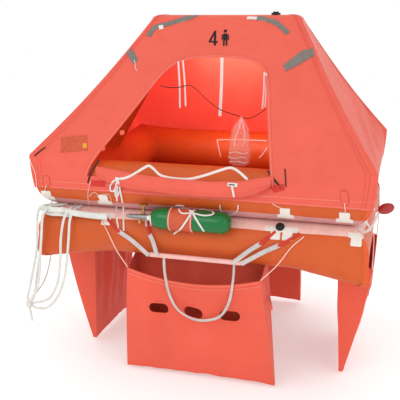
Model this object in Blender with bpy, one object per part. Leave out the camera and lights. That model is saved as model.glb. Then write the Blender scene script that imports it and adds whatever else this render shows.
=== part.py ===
"""Life raft for four people: two stacked buoyancy tubes, floor, arch tube, tent canopy, ballast bags, ladder and gas cylinder.

Metres, +Z up, X to the right along the entrance side, the entrance facing -Y. The origin is the middle of the
raft on the waterline of the empty raft. Heights in the tables are above the keel, the lowest line of the lower tube.
"""

import math

import bmesh
import bpy
from mathutils import Matrix, Vector

# Driving dimensions of the inflated hull
RAFT_LENGTH = 1.90
RAFT_DEPTH = 1.615
TUBE_RADIUS = 0.135
DRAUGHT = 0.04
GAP = 0.0004
TUBE_SIDES = 24

KEEL_Z = -DRAUGHT
HALF_X = RAFT_LENGTH / 2 - TUBE_RADIUS
HALF_Y = RAFT_DEPTH / 2 - TUBE_RADIUS
LOWER_TUBE_Z = KEEL_Z + TUBE_RADIUS
UPPER_TUBE_Z = KEEL_Z + 3 * TUBE_RADIUS + GAP

# A mitred corner of an inflated tube swells, down on the lower tube and up on the upper one.
# Each shape is (side of the swelling, rise as a share of the radius, push outwards as a share of the radius).
SWELL_REACH = 0.30
LOWER_SWELL = (-1, 0.30, 0.70)
UPPER_SWELL = (1, 0.12, 0.30)

# Canopy, over one arch tube that stands across the raft
FABRIC = 0.003
SKIN_OFFSET = FABRIC + 0.0006
RIDGE_Y = -0.08
RIDGE_HALF = 0.40
RIDGE_END_HALF = 0.012
RIDGE_HEIGHT = 1.365
SHOULDER_DROP = 0.03
SHOULDER_OUT = 0.068
ARCH_RADIUS = 0.075
HIP_SAG = 0.03
EAVE_X, EAVE_Y, EAVE_HEIGHT = 0.972, 0.829, 0.578

MATERIALS = {
    "canopy_fabric": ((0.95, 0.19, 0.11), 0.55, 0.0),
    "tube_fabric": ((0.78, 0.20, 0.04), 0.45, 0.0),
    "bag_fabric": ((0.93, 0.16, 0.09), 0.55, 0.0),
    "floor_fabric": ((0.10, 0.10, 0.11), 0.60, 0.0),
    "patch_rubber": ((0.72, 0.73, 0.70), 0.50, 0.0),
    "webbing": ((0.70, 0.66, 0.64), 0.75, 0.0),
    "rung_sleeve": ((0.76, 0.55, 0.50), 0.60, 0.0),
    "cylinder_paint": ((0.00, 0.28, 0.10), 0.25, 0.0),
    "brass": ((0.45, 0.30, 0.12), 0.35, 1.0),
    "steel": ((0.55, 0.55, 0.57), 0.30, 1.0),
    "black_rubber": ((0.02, 0.02, 0.02), 0.50, 0.0),
    "float_plastic": ((0.45, 0.06, 0.05), 0.40, 0.0),
    "clear_film": ((0.85, 0.75, 0.72), 0.15, 0.0),
    "rope": ((0.66, 0.66, 0.63), 0.80, 0.0),
}


def at(height):
    """Z of a height above the keel."""
    return KEEL_Z + height


def clear_scene():
    for obj in list(bpy.data.objects):
        bpy.data.objects.remove(obj)


def material(name):
    found = bpy.data.materials.get(name)
    if found:
        return found
    colour, roughness, metallic = MATERIALS[name]
    made = bpy.data.materials.new(name)
    made.use_nodes = True
    shader = made.node_tree.nodes["Principled BSDF"]
    shader.inputs["Base Color"].default_value = (*colour, 1.0)
    shader.inputs["Roughness"].default_value = roughness
    shader.inputs["Metallic"].default_value = metallic
    return made


def add_mesh(name, points, faces, finish, smooth_angle=40.0):
    """An object from plain points and faces, with its faces turned outwards."""
    mesh = bpy.data.meshes.new(name)
    mesh.from_pydata([tuple(p) for p in points], [], faces)
    shell = bmesh.new()
    shell.from_mesh(mesh)
    bmesh.ops.recalc_face_normals(shell, faces=shell.faces)
    shell.to_mesh(mesh)
    shell.free()
    mesh.shade_smooth()
    mesh.set_sharp_from_angle(angle=math.radians(smooth_angle))
    mesh.materials.append(material(finish))
    obj = bpy.data.objects.new(name, mesh)
    bpy.context.scene.collection.objects.link(obj)
    return obj


def as_cutter(obj):
    obj.hide_render = True
    obj.display_type = "WIRE"
    return obj


def triangulate(obj):
    """Splits bent four-sided faces, which a Boolean would otherwise read as crossing each other."""
    shell = bmesh.new()
    shell.from_mesh(obj.data)
    bmesh.ops.triangulate(shell, faces=shell.faces)
    shell.to_mesh(obj.data)
    shell.free()


def boolean(obj, other, operation):
    triangulate(obj)
    triangulate(other)
    as_cutter(other)
    step = obj.modifiers.new(f"{operation.lower()}_{other.name}", "BOOLEAN")
    step.operation = operation
    step.object = other


def lofted(rings, closed_path=False):
    """Points and faces of a skin over rings with equal counts, with its ends capped unless the path closes."""
    count = len(rings[0])
    points = [p for ring in rings for p in ring]
    faces = []
    last = len(rings) if closed_path else len(rings) - 1
    for i in range(last):
        a, b = i * count, ((i + 1) % len(rings)) * count
        for j in range(count):
            k = (j + 1) % count
            faces.append((a + j, a + k, b + k, b + j))
    if not closed_path:
        faces.append(tuple(range(count)))
        faces.append(tuple(reversed(range(len(points) - count, len(points)))))
    return points, faces


def turned(name, profile, finish, centre, axis="Z", sides=20, tilt=0.0):
    """A solid turned from (along, radius) pairs about an axis through centre."""
    rings = []
    for along, radius in profile:
        ring = []
        for k in range(sides):
            angle = 2 * math.pi * k / sides
            ring.append(Vector((radius * math.cos(angle), radius * math.sin(angle), along)))
        rings.append(ring)
    points, faces = lofted(rings)
    turn = {
        "X": Matrix.Rotation(math.pi / 2, 3, "Y"),
        "Y": Matrix.Rotation(-math.pi / 2, 3, "X"),
        "-Y": Matrix.Rotation(math.pi / 2, 3, "X"),
        "Z": Matrix.Identity(3),
    }[axis]
    lean = Matrix.Rotation(tilt, 3, "Y")
    points = [lean @ (turn @ p) for p in points]
    obj = add_mesh(name, points, faces, finish)
    obj.location = centre
    return obj


def smooth_route(points, steps):
    """Points on a Catmull-Rom curve through a route's own points."""
    route = [Vector(p) for p in points]
    route = [2 * route[0] - route[1], *route, 2 * route[-1] - route[-2]]
    made = []
    for i in range(1, len(route) - 2):
        p0, p1, p2, p3 = route[i - 1 : i + 3]
        for k in range(steps):
            t = k / steps
            made.append(
                0.5
                * (
                    2 * p1
                    + (p2 - p0) * t
                    + (2 * p0 - 5 * p1 + 4 * p2 - p3) * t**2
                    + (3 * p1 - 3 * p2 + p3 - p0) * t**3
                )
            )
    made.append(route[-2])
    return made


def cord(name, points, radius, finish, resolution=2):
    curve = bpy.data.curves.new(name, "CURVE")
    curve.dimensions = "3D"
    curve.bevel_depth = radius
    curve.bevel_resolution = resolution
    curve.use_fill_caps = True
    spline = curve.splines.new("POLY")
    spline.points.add(len(points) - 1)
    for spot, p in zip(spline.points, points):
        spot.co = (*p, 1.0)
    curve.materials.append(material(finish))
    obj = bpy.data.objects.new(name, curve)
    bpy.context.scene.collection.objects.link(obj)
    return obj


def ribbon(name, points, width, thickness, facing, finish):
    """A flat strap along points, its broad side turned to the facing direction."""
    route = [Vector(p) for p in points]
    rings = []
    for i, p in enumerate(route):
        along = (route[min(i + 1, len(route) - 1)] - route[max(i - 1, 0)]).normalized()
        across = along.cross(Vector(facing)).normalized()
        out = across.cross(along).normalized()
        w, t = across * width / 2, out * thickness / 2
        rings.append([p - w - t, p + w - t, p + w + t, p - w + t])
    points, faces = lofted(rings)
    return add_mesh(name, points, faces, finish)


# The four sides of the hull: name, start corner, outward direction
SIDES = (
    ("front", (-1, -1), (0, -1)),
    ("right", (1, -1), (1, 0)),
    ("rear", (1, 1), (0, 1)),
    ("left", (-1, 1), (-1, 0)),
)


def swell_at(distance):
    return max(0.0, 1.0 - distance / SWELL_REACH) ** 1.5


def section_point(angle, radius, swell, shape):
    """(out, up) of a tube's skin at an angle from straight outwards."""
    swelling_side, most_rise, most_push = shape
    rise = math.sin(angle)
    amount = swell if rise * swelling_side > 0 else 0.0
    out = radius * (math.cos(angle) + most_push * amount * rise * rise)
    return out, radius * rise * (1 + most_rise * amount)


def ring_around(stations, section):
    """Rings of points round the hull's four sides. section(side, distance, swell) gives (out, height) pairs."""
    rings = []
    for index, (side, start, outward) in enumerate(SIDES):
        before = Vector((*SIDES[index - 1][2], 0))
        normal = Vector((*outward, 0))
        along = Vector((-outward[1], outward[0], 0))
        corner = Vector((start[0] * HALF_X, start[1] * HALF_Y, 0))
        length = 2 * (HALF_X if outward[0] == 0 else HALF_Y)
        for distance in stations(side, length):
            pairs = section(side, distance, swell_at(min(distance, length - distance)))
            direction = normal + before if distance == 0 else normal
            foot = corner + along * distance
            rings.append([foot + direction * out + Vector((0, 0, up)) for out, up in pairs])
    return rings


def tube_stations(side, length):
    near, far = 0.17, 0.32
    return (0, near, far, length / 2, length - far, length - near)


def tube(name, centre_z, shape, grow):
    def section(side, distance, swell):
        pairs = []
        for k in range(TUBE_SIDES):
            angle = 2 * math.pi * k / TUBE_SIDES
            out, up = section_point(angle, TUBE_RADIUS + grow, swell, shape)
            pairs.append((out, centre_z + up))
        return pairs

    points, faces = lofted(ring_around(tube_stations, section), closed_path=True)
    return add_mesh(name, points, faces, "tube_fabric", 60)


def lower_tube(name="lower_tube", grow=0.0):
    return tube(name, LOWER_TUBE_Z, LOWER_SWELL, grow)


def upper_tube(name="upper_tube", grow=0.0):
    return tube(name, UPPER_TUBE_Z, UPPER_SWELL, grow)


# Grab bands with their T-shaped rubber patches, as distances along each side from its start corner
TAB_CENTRES = {
    "upper": {
        "front": (0.04, 0.28, 1.32, 1.59),
        "right": (0.20, 0.67, 1.15),
        "rear": (0.25, 0.80, 1.38),
        "left": (0.20, 0.67, 1.15),
    },
    "lower": {
        "front": (0.285, 0.545, 1.28, 1.40, 1.59),
        "right": (0.20, 0.67, 1.15),
        "rear": (0.25, 0.80, 1.38),
        "left": (0.20, 0.67, 1.15),
    },
}
TAB_HALF = 0.035
BAND_THICKNESS = 0.003
STEP = math.radians(360 / TUBE_SIDES)


def grab_band(name, level, centre_z, shape, from_step, to_step, tab_step, seat):
    """A flat band round the hull that follows the tube's own facets, widened at each patch, and bedded on the tube."""

    def stations(side, length):
        found = set(tube_stations(side, length))
        for centre in TAB_CENTRES[level][side]:
            for edge in (-TAB_HALF, TAB_HALF):
                found |= {centre + edge - 0.001, centre + edge + 0.001}
        return sorted(found)

    def section(side, distance, swell):
        on_tab = any(abs(distance - c) < TAB_HALF for c in TAB_CENTRES[level][side])
        reach = tab_step - to_step if on_tab else math.copysign(0.2, tab_step - to_step)
        inner, outer = [], []
        for step in (from_step, to_step, to_step + reach / 2, to_step + reach):
            angle = step * STEP
            for radius, kept in ((TUBE_RADIUS, inner), (TUBE_RADIUS + GAP + BAND_THICKNESS, outer)):
                if step != round(step):
                    low, high = math.floor(step), math.ceil(step)
                    a = section_point(low * STEP, radius, swell, shape)
                    b = section_point(high * STEP, radius, swell, shape)
                    share = step - low
                    pair = [a[i] + (b[i] - a[i]) * share for i in (0, 1)]
                else:
                    pair = section_point(angle, radius, swell, shape)
                kept.append((pair[0], centre_z + pair[1]))
        return outer + inner[::-1]

    points, faces = lofted(ring_around(stations, section), closed_path=True)
    band = add_mesh(name, points, faces, "patch_rubber")
    boolean(band, seat, "DIFFERENCE")


# Canopy rows from hem to ridge and columns along each side
COLUMN_SHARES = (-1.0, -0.93, -0.8, -0.45, 0.0, 0.45, 0.8, 0.93, 1.0)
SLOPE_SHARES = (0.0, 0.25, 0.5, 0.75, 1.0)
FLARE_POWER = 3.0
LAST_LYING_STEP = 3


def side_profile(half, ridge_out, leave_step):
    """(out, height) from hem to shoulder at the middle of a side: lying on the upper tube, then straight up."""
    centre = UPPER_TUBE_Z - KEEL_Z
    radius = TUBE_RADIUS + SKIN_OFFSET
    rows = [(half + radius, centre - 0.02)]
    for step in range(leave_step + 1):
        rows.append((half + radius * math.cos(step * STEP), centre + radius * math.sin(step * STEP)))
    leave_out, leave_height = rows[-1]
    shares = [0.1 * (1 - share) + share for share in SLOPE_SHARES]
    if leave_step < LAST_LYING_STEP:
        shares = [0.04, *shares]
    for share in shares:
        out = leave_out + (ridge_out + SHOULDER_OUT - leave_out) * share
        rows.append((out, leave_height + (RIDGE_HEIGHT - SHOULDER_DROP - leave_height) * share))
    return rows


def hip_profile():
    """(x, front y, rear y, height) of the four hips from hem to shoulder."""
    rows = [
        (0.957, -0.8145, 0.8145, 0.385),
        (0.960, -0.8175, 0.8175, 0.405),
        (0.966, -0.8235, 0.8235, 0.455),
        (0.970, -0.8270, 0.8270, 0.505),
        (0.972, -0.8290, 0.8290, 0.545),
    ]
    top_x = RIDGE_HALF + SHOULDER_OUT - 0.01
    top_height = RIDGE_HEIGHT - SHOULDER_DROP
    for share in SLOPE_SHARES:
        rows.append(
            (
                EAVE_X + (top_x - EAVE_X) * share,
                -EAVE_Y + (RIDGE_Y - SHOULDER_OUT + EAVE_Y) * share,
                EAVE_Y + (RIDGE_Y + SHOULDER_OUT - EAVE_Y) * share,
                EAVE_HEIGHT + (top_height - EAVE_HEIGHT) * share - HIP_SAG * math.sin(math.pi * share),
            )
        )
    return rows


def canopy_rows():
    """Each row's points at the middle of the front, the rear and the sides, with the hips, hem first and ridge last."""
    front = side_profile(HALF_Y, -RIDGE_Y, 2)
    rear = side_profile(HALF_Y, RIDGE_Y, 3)
    side = side_profile(HALF_X, RIDGE_HALF, 2)
    rows = []
    for (front_out, front_height), (rear_out, rear_height), (side_out, side_height), hip in zip(
        front, rear, side, hip_profile()
    ):
        rows.append(((-front_out, front_height), (rear_out, rear_height), (side_out, side_height), hip))
    rows.append(
        (
            (RIDGE_Y - GAP / 2, RIDGE_HEIGHT),
            (RIDGE_Y + GAP / 2, RIDGE_HEIGHT),
            (RIDGE_HALF, RIDGE_HEIGHT),
            (RIDGE_HALF, RIDGE_Y - RIDGE_END_HALF, RIDGE_Y + RIDGE_END_HALF, RIDGE_HEIGHT),
        )
    )
    return rows


def canopy_ring(row):
    """The row's outer points all the way round, from the front left hip, with shared hip points."""
    front, rear, side, (hip_x, hip_front, hip_rear, hip_height) = row
    mid_y, half_y = (hip_front + hip_rear) / 2, (hip_rear - hip_front) / 2
    ring = []
    for sign, (middle, height), hip_y in ((1, front, hip_front), (0, side, None), (-1, rear, hip_rear), (0, side, None)):
        turn = -1 if len(ring) > 2 * len(COLUMN_SHARES) else 1
        for share in COLUMN_SHARES[:-1]:
            w = abs(share) ** FLARE_POWER
            z = at(height + (hip_height - height) * w)
            if sign:
                ring.append(Vector((sign * hip_x * share, middle + (hip_y - middle) * w, z)))
            else:
                x = middle + (hip_x - middle) * w
                ring.append(Vector((turn * x, mid_y + turn * half_y * share, z)))
    return ring


def canopy_grids():
    """Outer and inner points of the whole canopy, row by row."""
    outer = [canopy_ring(row) for row in canopy_rows()]
    count = len(outer[0])
    shell = bmesh.new()
    verts = [[shell.verts.new(p) for p in ring] for ring in outer]
    for low, high in zip(verts, verts[1:]):
        for j in range(count):
            k = (j + 1) % count
            shell.faces.new((low[j], low[k], high[k], high[j]))
    bmesh.ops.recalc_face_normals(shell, faces=shell.faces)
    shell.normal_update()
    inner = []
    for r, ring in enumerate(verts):
        row = []
        for v in ring:
            normal = v.normal.copy()
            if r == len(verts) - 1:
                normal = Vector((0, 0, 1))
            elif normal.dot(v.co - Vector((0, RIDGE_Y, at(0.5)))) < 0:
                normal.negate()
            row.append(v.co - normal * FABRIC)
        inner.append(row)
    shell.free()
    return outer, inner


def canopy_panel(name, side_index, outer, inner):
    """One fabric panel between two hips, with its hip edges drawn back by half the seam gap."""
    count = len(outer[0])
    first = side_index * (len(COLUMN_SHARES) - 1)
    columns = [(first + i) % count for i in range(len(COLUMN_SHARES))]
    along = Vector((-SIDES[side_index][2][1], SIDES[side_index][2][0], 0))
    grids = []
    for grid in (outer, inner):
        rows = []
        for ring in grid:
            row = [ring[c].copy() for c in columns]
            row[0] += along * GAP / 2
            row[-1] -= along * GAP / 2
            rows.append(row)
        grids.append(rows)
    rows, width = len(outer), len(columns)
    points = [p for rows_of in grids for row in rows_of for p in row]
    back = rows * width
    faces = []
    for r in range(rows - 1):
        for c in range(width - 1):
            a = r * width + c
            faces.append((a, a + 1, a + width + 1, a + width))
            faces.append((back + a + width, back + a + width + 1, back + a + 1, back + a))
    for r in range(rows - 1):
        for c in (0, width - 1):
            a = r * width + c
            faces.append((a, a + width, back + a + width, back + a))
    for r in (0, rows - 1):
        for c in range(width - 1):
            a = r * width + c
            faces.append((a, a + 1, back + a + 1, back + a))
    return add_mesh(name, points, faces, "canopy_fabric", 50)


# Entrance outline in the front panel: height above the keel, left x, right x
DOOR_OUTLINE = (
    (0.470, -0.630, 0.430),
    (0.560, -0.600, 0.408),
    (0.795, -0.456, 0.357),
    (0.920, -0.382, 0.335),
    (1.010, -0.322, 0.310),
    (1.070, -0.262, 0.275),
    (1.105, -0.180, 0.210),
    (1.122, -0.060, 0.100),
)


def door_cutter():
    outline = [(left, height) for height, left, _ in DOOR_OUTLINE]
    outline += [(right, height) for height, _, right in reversed(DOOR_OUTLINE)]
    rings = [[Vector((x, y, at(h))) for x, h in outline] for y in (-1.1, RIDGE_Y - 0.08)]
    points, faces = lofted(rings)
    return add_mesh("door_cutter", points, faces, "canopy_fabric")


def build_canopy():
    outer, inner = canopy_grids()
    for index, (side, _, _) in enumerate(SIDES):
        panel = canopy_panel(f"canopy_{side}", index, outer, inner)
        triangulate(panel)
        if side == "front":
            boolean(panel, door_cutter(), "DIFFERENCE")


def build_arch():
    """The arch stands on the side tubes just under the canopy's side panels."""
    top = RIDGE_HEIGHT - FABRIC - GAP - ARCH_RADIUS
    half = (
        (0.812, 0.480),
        (0.790, 0.560),
        (0.420, 1.190),
        (0.375, 1.250),
        (0.300, top),
    )
    route = [(-x, RIDGE_Y, at(h)) for x, h in half] + [(x, RIDGE_Y, at(h)) for x, h in reversed(half)]
    rings = []
    sides = 16
    for i, p in enumerate(route):
        ahead = Vector(route[min(i + 1, len(route) - 1)])
        behind = Vector(route[max(i - 1, 0)])
        tangent = (ahead - behind).normalized()
        across = Vector((0, 1, 0))
        out = tangent.cross(across)
        turn = Vector(route[min(i + 1, len(route) - 1)]) - Vector(p)
        turn = turn.normalized() if turn.length else tangent
        stretch = 1 / max(0.7, tangent.dot(turn))
        ring = []
        for k in range(sides):
            angle = 2 * math.pi * k / sides
            offset = across * math.cos(angle) + out * math.sin(angle) * stretch
            ring.append(Vector(p) + offset * ARCH_RADIUS)
        rings.append(ring)
    points, faces = lofted(rings)
    arch = add_mesh("arch_tube", points, faces, "tube_fabric", 60)
    boolean(arch, canopy_form("canopy_lining", -FABRIC - GAP), "INTERSECT")
    boolean(arch, upper_tube("upper_tube_seat", GAP), "DIFFERENCE")


def build_floor():
    low, high = at(0.010), at(0.032)
    corners = ((-HALF_X, -HALF_Y), (HALF_X, -HALF_Y), (HALF_X, HALF_Y), (-HALF_X, HALF_Y))
    rings = [[Vector((x, y, z)) for x, y in corners] for z in (low, high)]
    points, faces = lofted(rings)
    floor = add_mesh("floor", points, faces, "floor_fabric")
    boolean(floor, lower_tube("lower_tube_seat", GAP), "DIFFERENCE")


# Ballast bags: side, middle along the side, half width at the mouth and at the foot, and where their lines start
BAGS = (
    ("front", 0.0, 0.39, 0.46, (-0.556, 0.610)),
    ("right", -0.10, 0.36, 0.30, (-0.4725, 0.4775)),
    ("rear", 0.0, 0.39, 0.42, (-0.565, 0.565)),
    ("left", 0.08, 0.36, 0.30, (-0.4725, 0.4775)),
)
LINE_RADIUS = 0.003
LINE_ANGLE = math.radians(33)
BAG_MOUTH_OUT = 0.150
BAG_MOUTH_HEIGHT = -0.050
BAG_MOUTH_SAG = 0.060
BAG_SEAM_OUT = -0.050
BAG_FOOT_HEIGHT = -0.740
BAG_FOOT_HALF = 0.012
BAG_WALL = 0.003
BAG_COLUMNS = 8
BAG_ROWS = 5
HOLE_HALF_LENGTH = 0.060
HOLE_RADIUS = 0.035
HOLE_SPACING = 0.21
HOLE_HEIGHT = -0.290


def bag_point(u_share, outer_side, depth_share, half_mouth, half_foot, inset):
    """(along, out, height) of a bag's wall. inset draws the inner skin in by the wall's thickness."""
    along = u_share * (half_mouth + (half_foot - half_mouth) * depth_share - inset)
    if outer_side:
        mouth_height = BAG_MOUTH_HEIGHT - BAG_MOUTH_SAG * (1 - u_share**2)
        out = BAG_MOUTH_OUT + (BAG_FOOT_HALF - BAG_MOUTH_OUT) * depth_share**1.3 - inset
    else:
        mouth_height = 0.030
        out = BAG_SEAM_OUT + (-BAG_FOOT_HALF - BAG_SEAM_OUT) * depth_share + inset
    foot = BAG_FOOT_HEIGHT + inset
    return along, out, mouth_height + (foot - mouth_height) * depth_share


def bag_ring(depth_share, half_mouth, half_foot, inset):
    ring = []
    for i in range(BAG_COLUMNS + 1):
        ring.append(bag_point(2 * i / BAG_COLUMNS - 1, True, depth_share, half_mouth, half_foot, inset))
    for i in range(BAG_COLUMNS + 1):
        ring.append(bag_point(1 - 2 * i / BAG_COLUMNS, False, depth_share, half_mouth, half_foot, inset))
    return ring


def build_bag(side, middle, half_mouth, half_foot, seat):
    outward = Vector((*next(s[2] for s in SIDES if s[0] == side), 0))
    along = Vector((-outward.y, outward.x, 0))
    half = HALF_Y if outward.x == 0 else HALF_X
    foot = outward * half + along * middle

    def place(spot):
        return foot + along * spot[0] + outward * spot[1] + Vector((0, 0, at(spot[2])))

    shares = [i / BAG_ROWS for i in range(BAG_ROWS + 1)]
    rings = [[place(s) for s in bag_ring(d, half_mouth, half_foot, 0.0)] for d in reversed(shares)]
    rings += [[place(s) for s in bag_ring(d, half_mouth, half_foot, BAG_WALL)] for d in shares]
    points, faces = lofted(rings)
    bag = add_mesh(f"bag_{side}", points, faces, "bag_fabric", 50)
    boolean(bag, seat, "DIFFERENCE")
    for number in (-1, 0, 1):
        outline = []
        for k in range(12):
            angle = 2 * math.pi * k / 12 + math.pi / 12
            shift = math.copysign(HOLE_HALF_LENGTH - HOLE_RADIUS, math.cos(angle))
            outline.append((shift + HOLE_RADIUS * math.cos(angle), HOLE_RADIUS * math.sin(angle)))
        rings = []
        for out in (0.03, 0.30):
            ring = []
            for a, h in outline:
                ring.append(place((number * HOLE_SPACING + a, out, HOLE_HEIGHT + h)))
            rings.append(ring)
        hole_points, hole_faces = lofted(rings)
        hole = add_mesh(f"bag_{side}_hole_{number + 1}", hole_points, hole_faces, "bag_fabric")
        boolean(bag, hole, "DIFFERENCE")


# Gas cylinder in the groove between the tubes
CYLINDER_RADIUS = 0.059
CYLINDER_HEIGHT = 0.262
STRAP_THICKNESS = 0.003
CYLINDER_REACH = TUBE_RADIUS + BAND_THICKNESS + STRAP_THICKNESS + CYLINDER_RADIUS + 4 * GAP
CYLINDER_OUT = HALF_Y + math.sqrt(CYLINDER_REACH**2 - (CYLINDER_HEIGHT - TUBE_RADIUS) ** 2)
CYLINDER_CENTRE = (-0.02, -CYLINDER_OUT, at(CYLINDER_HEIGHT))


def build_cylinder():
    profile = (
        (-0.240, 0.014),
        (-0.222, 0.016),
        (-0.212, 0.030),
        (-0.195, 0.047),
        (-0.170, 0.057),
        (-0.150, CYLINDER_RADIUS),
        (0.205, CYLINDER_RADIUS),
        (0.225, 0.055),
        (0.238, 0.042),
        (0.240, 0.030),
    )
    turned("gas_cylinder", profile, "cylinder_paint", CYLINDER_CENTRE, "X", 24)
    inner = CYLINDER_RADIUS + GAP
    rings = []
    for along, radius in ((-0.105, inner), (-0.105, inner + STRAP_THICKNESS), (0.035, inner + STRAP_THICKNESS), (0.035, inner)):
        ring = []
        for k in range(24):
            angle = 2 * math.pi * k / 24
            ring.append(Vector((along, radius * math.cos(angle), radius * math.sin(angle))))
        rings.append(ring)
    points, faces = lofted(rings, closed_path=True)
    strap = add_mesh("cylinder_strap", points, faces, "canopy_fabric")
    strap.location = CYLINDER_CENTRE
    start = CYLINDER_CENTRE[0] - 0.240 - GAP
    nose = ((0.0, 0.013), (-0.004, 0.017), (-0.036, 0.017), (-0.040, 0.011), (-0.060, 0.0125), (-0.110, 0.0125), (-0.125, 0.006))
    turned("valve_head", nose, "steel", (start, CYLINDER_CENTRE[1], CYLINDER_CENTRE[2]), "X", 16)


def build_inlet():
    """Brass inlet: a flange on the upper tube and a pipe down to the valve head."""
    x = CYLINDER_CENTRE[0] - 0.262
    y = CYLINDER_CENTRE[1]
    low = CYLINDER_CENTRE[2] + 0.017 + GAP
    pipe = turned("inlet_pipe", ((0, 0.006), (0.056, 0.006)), "brass", (x, y, low), "Z", 12)
    flange_height = low + 0.050
    disc = turned("inlet_disc", ((0, 0.026), (0.006, 0.026), (0.010, 0.012)), "brass", (x, y, flange_height), "Z", 16)
    boolean(pipe, disc, "UNION")
    block = add_mesh(
        "inlet_block",
        [(x + dx, yy, flange_height + dz) for yy in (y + 0.004, y + 0.09) for dx, dz in ((-0.012, 0), (0.012, 0), (0.012, 0.008), (-0.012, 0.008))],
        [(0, 1, 2, 3), (7, 6, 5, 4), (0, 4, 5, 1), (1, 5, 6, 2), (2, 6, 7, 3), (3, 7, 4, 0)],
        "brass",
    )
    boolean(pipe, block, "UNION")
    boolean(pipe, upper_tube("inlet_seat", GAP), "DIFFERENCE")


def build_lamp():
    spot = (0.30, RIDGE_Y, at(RIDGE_HEIGHT) + GAP)
    profile = ((0.0, 0.028), (0.010, 0.028), (0.014, 0.018), (0.026, 0.016), (0.034, 0.009))
    turned("canopy_lamp", profile, "black_rubber", spot, "Z", 16)


def build_relief_valve():
    angle = 3.5 * STEP
    reach = (TUBE_RADIUS + BAND_THICKNESS) * math.cos(STEP / 2) + 2 * GAP
    spot = (0.475, -HALF_Y - reach * math.cos(angle), LOWER_TUBE_Z + reach * math.sin(angle))
    knob = turned("relief_valve", ((0, 0.024), (0.012, 0.024), (0.020, 0.016)), "black_rubber", (0, 0, 0), "-Y", 16)
    knob.rotation_euler = (-angle, 0, 0)
    knob.location = spot


def door_roll():
    """The entrance flap, rolled down and lying along the skirt below the opening."""
    half_out, half_up = 0.034, 0.047
    route = (
        (-0.56, 0.020, 0.505),
        (-0.45, 0.032, 0.478),
        (-0.28, 0.037, 0.458),
        (0.0, 0.038, 0.446),
        (0.22, 0.037, 0.452),
        (0.34, 0.032, 0.475),
        (0.43, 0.020, 0.508),
    )
    surface = HALF_Y + TUBE_RADIUS + SKIN_OFFSET
    rings = []
    for i, (x, out, height) in enumerate(route):
        size = 0.62 if i in (0, len(route) - 1) else 1.0
        ring = []
        for k in range(14):
            angle = 2 * math.pi * k / 14
            ring.append(
                Vector(
                    (
                        x,
                        -(surface + out - 0.009) - half_out * size * math.cos(angle),
                        at(height) + half_up * size * math.sin(angle),
                    )
                )
            )
        rings.append(ring)
    points, faces = lofted(rings)
    roll = add_mesh("door_roll", points, faces, "canopy_fabric", 70)
    boolean(roll, canopy_form("canopy_seat", GAP), "DIFFERENCE")


def canopy_form(name, grow):
    """The canopy's outer shape as one closed block, grown a little, to seat pieces that lie on it."""
    outer, inner = canopy_grids()
    rings = []
    for ring, under in zip(outer, inner):
        rings.append([p + (p - q).normalized() * grow for p, q in zip(ring, under)])
    points, faces = lofted(rings)
    return add_mesh(name, points, faces, "canopy_fabric")


# Boarding ladder: straps from lower patches to the rung, as (name, patch x, foot x along the rung)
LADDER_PATCH_ANGLE = math.radians(40)
LADDER_STRAPS = (
    ("ladder_strap_1", -0.530, -0.250),
    ("ladder_strap_2", -0.275, -0.200),
    ("ladder_strap_3", 0.455, 0.235),
    ("ladder_strap_4", 0.585, 0.283),
)
WEB_WIDTH = 0.025
WEB_THICKNESS = 0.0025
RUNG_RADIUS = 0.014
RUNG_HEIGHT = 0.045
RUNG_OUT = HALF_Y + 0.156


def build_ladder():
    """The straps hang on the hull's front, and the rung lies across their feet."""
    reach = TUBE_RADIUS + BAND_THICKNESS + WEB_THICKNESS + 2 * GAP
    top_y = -HALF_Y - reach * math.cos(LADDER_PATCH_ANGLE)
    top_height = TUBE_RADIUS + reach * math.sin(LADDER_PATCH_ANGLE)
    front = -HALF_Y - TUBE_RADIUS - 0.009
    seat = lower_tube("ladder_seat", BAND_THICKNESS + 2 * GAP)
    for name, patch_x, foot_x in LADDER_STRAPS:
        foot_y = -RUNG_OUT - RUNG_RADIUS - 1.4 * WEB_THICKNESS
        points = (
            (patch_x, top_y, at(top_height)),
            (patch_x + (foot_x - patch_x) * 0.3, front - 0.003, at(top_height - 0.057)),
            (patch_x + (foot_x - patch_x) * 0.62, front - 0.008, at(top_height - 0.110)),
            (foot_x, foot_y, at(RUNG_HEIGHT)),
        )
        strap = ribbon(name, points, WEB_WIDTH, WEB_THICKNESS, (0, -1, 0.15), "webbing")
        boolean(strap, seat, "DIFFERENCE")
    turned("ladder_rung", ((-0.255, RUNG_RADIUS * 0.7), (-0.245, RUNG_RADIUS), (0.275, RUNG_RADIUS), (0.285, RUNG_RADIUS * 0.7)),
           "rung_sleeve", (0.0, -RUNG_OUT, at(RUNG_HEIGHT)), "X", 12)


def build_foot_loop():
    """The loop that hangs under the rung as a second step."""
    out = -RUNG_OUT
    top = RUNG_HEIGHT - RUNG_RADIUS - GAP
    route = (
        (-0.165, top),
        (-0.160, -0.06),
        (-0.135, -0.18),
        (-0.085, -0.27),
        (0.0, -0.315),
        (0.085, -0.315),
        (0.165, -0.28),
        (0.215, -0.19),
        (0.235, -0.06),
        (0.240, top),
    )
    points = smooth_route([(x, out, at(h)) for x, h in route], 2)
    ribbon("foot_loop", points, WEB_WIDTH * 0.8, WEB_THICKNESS, (0, -1, 0), "webbing")


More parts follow.
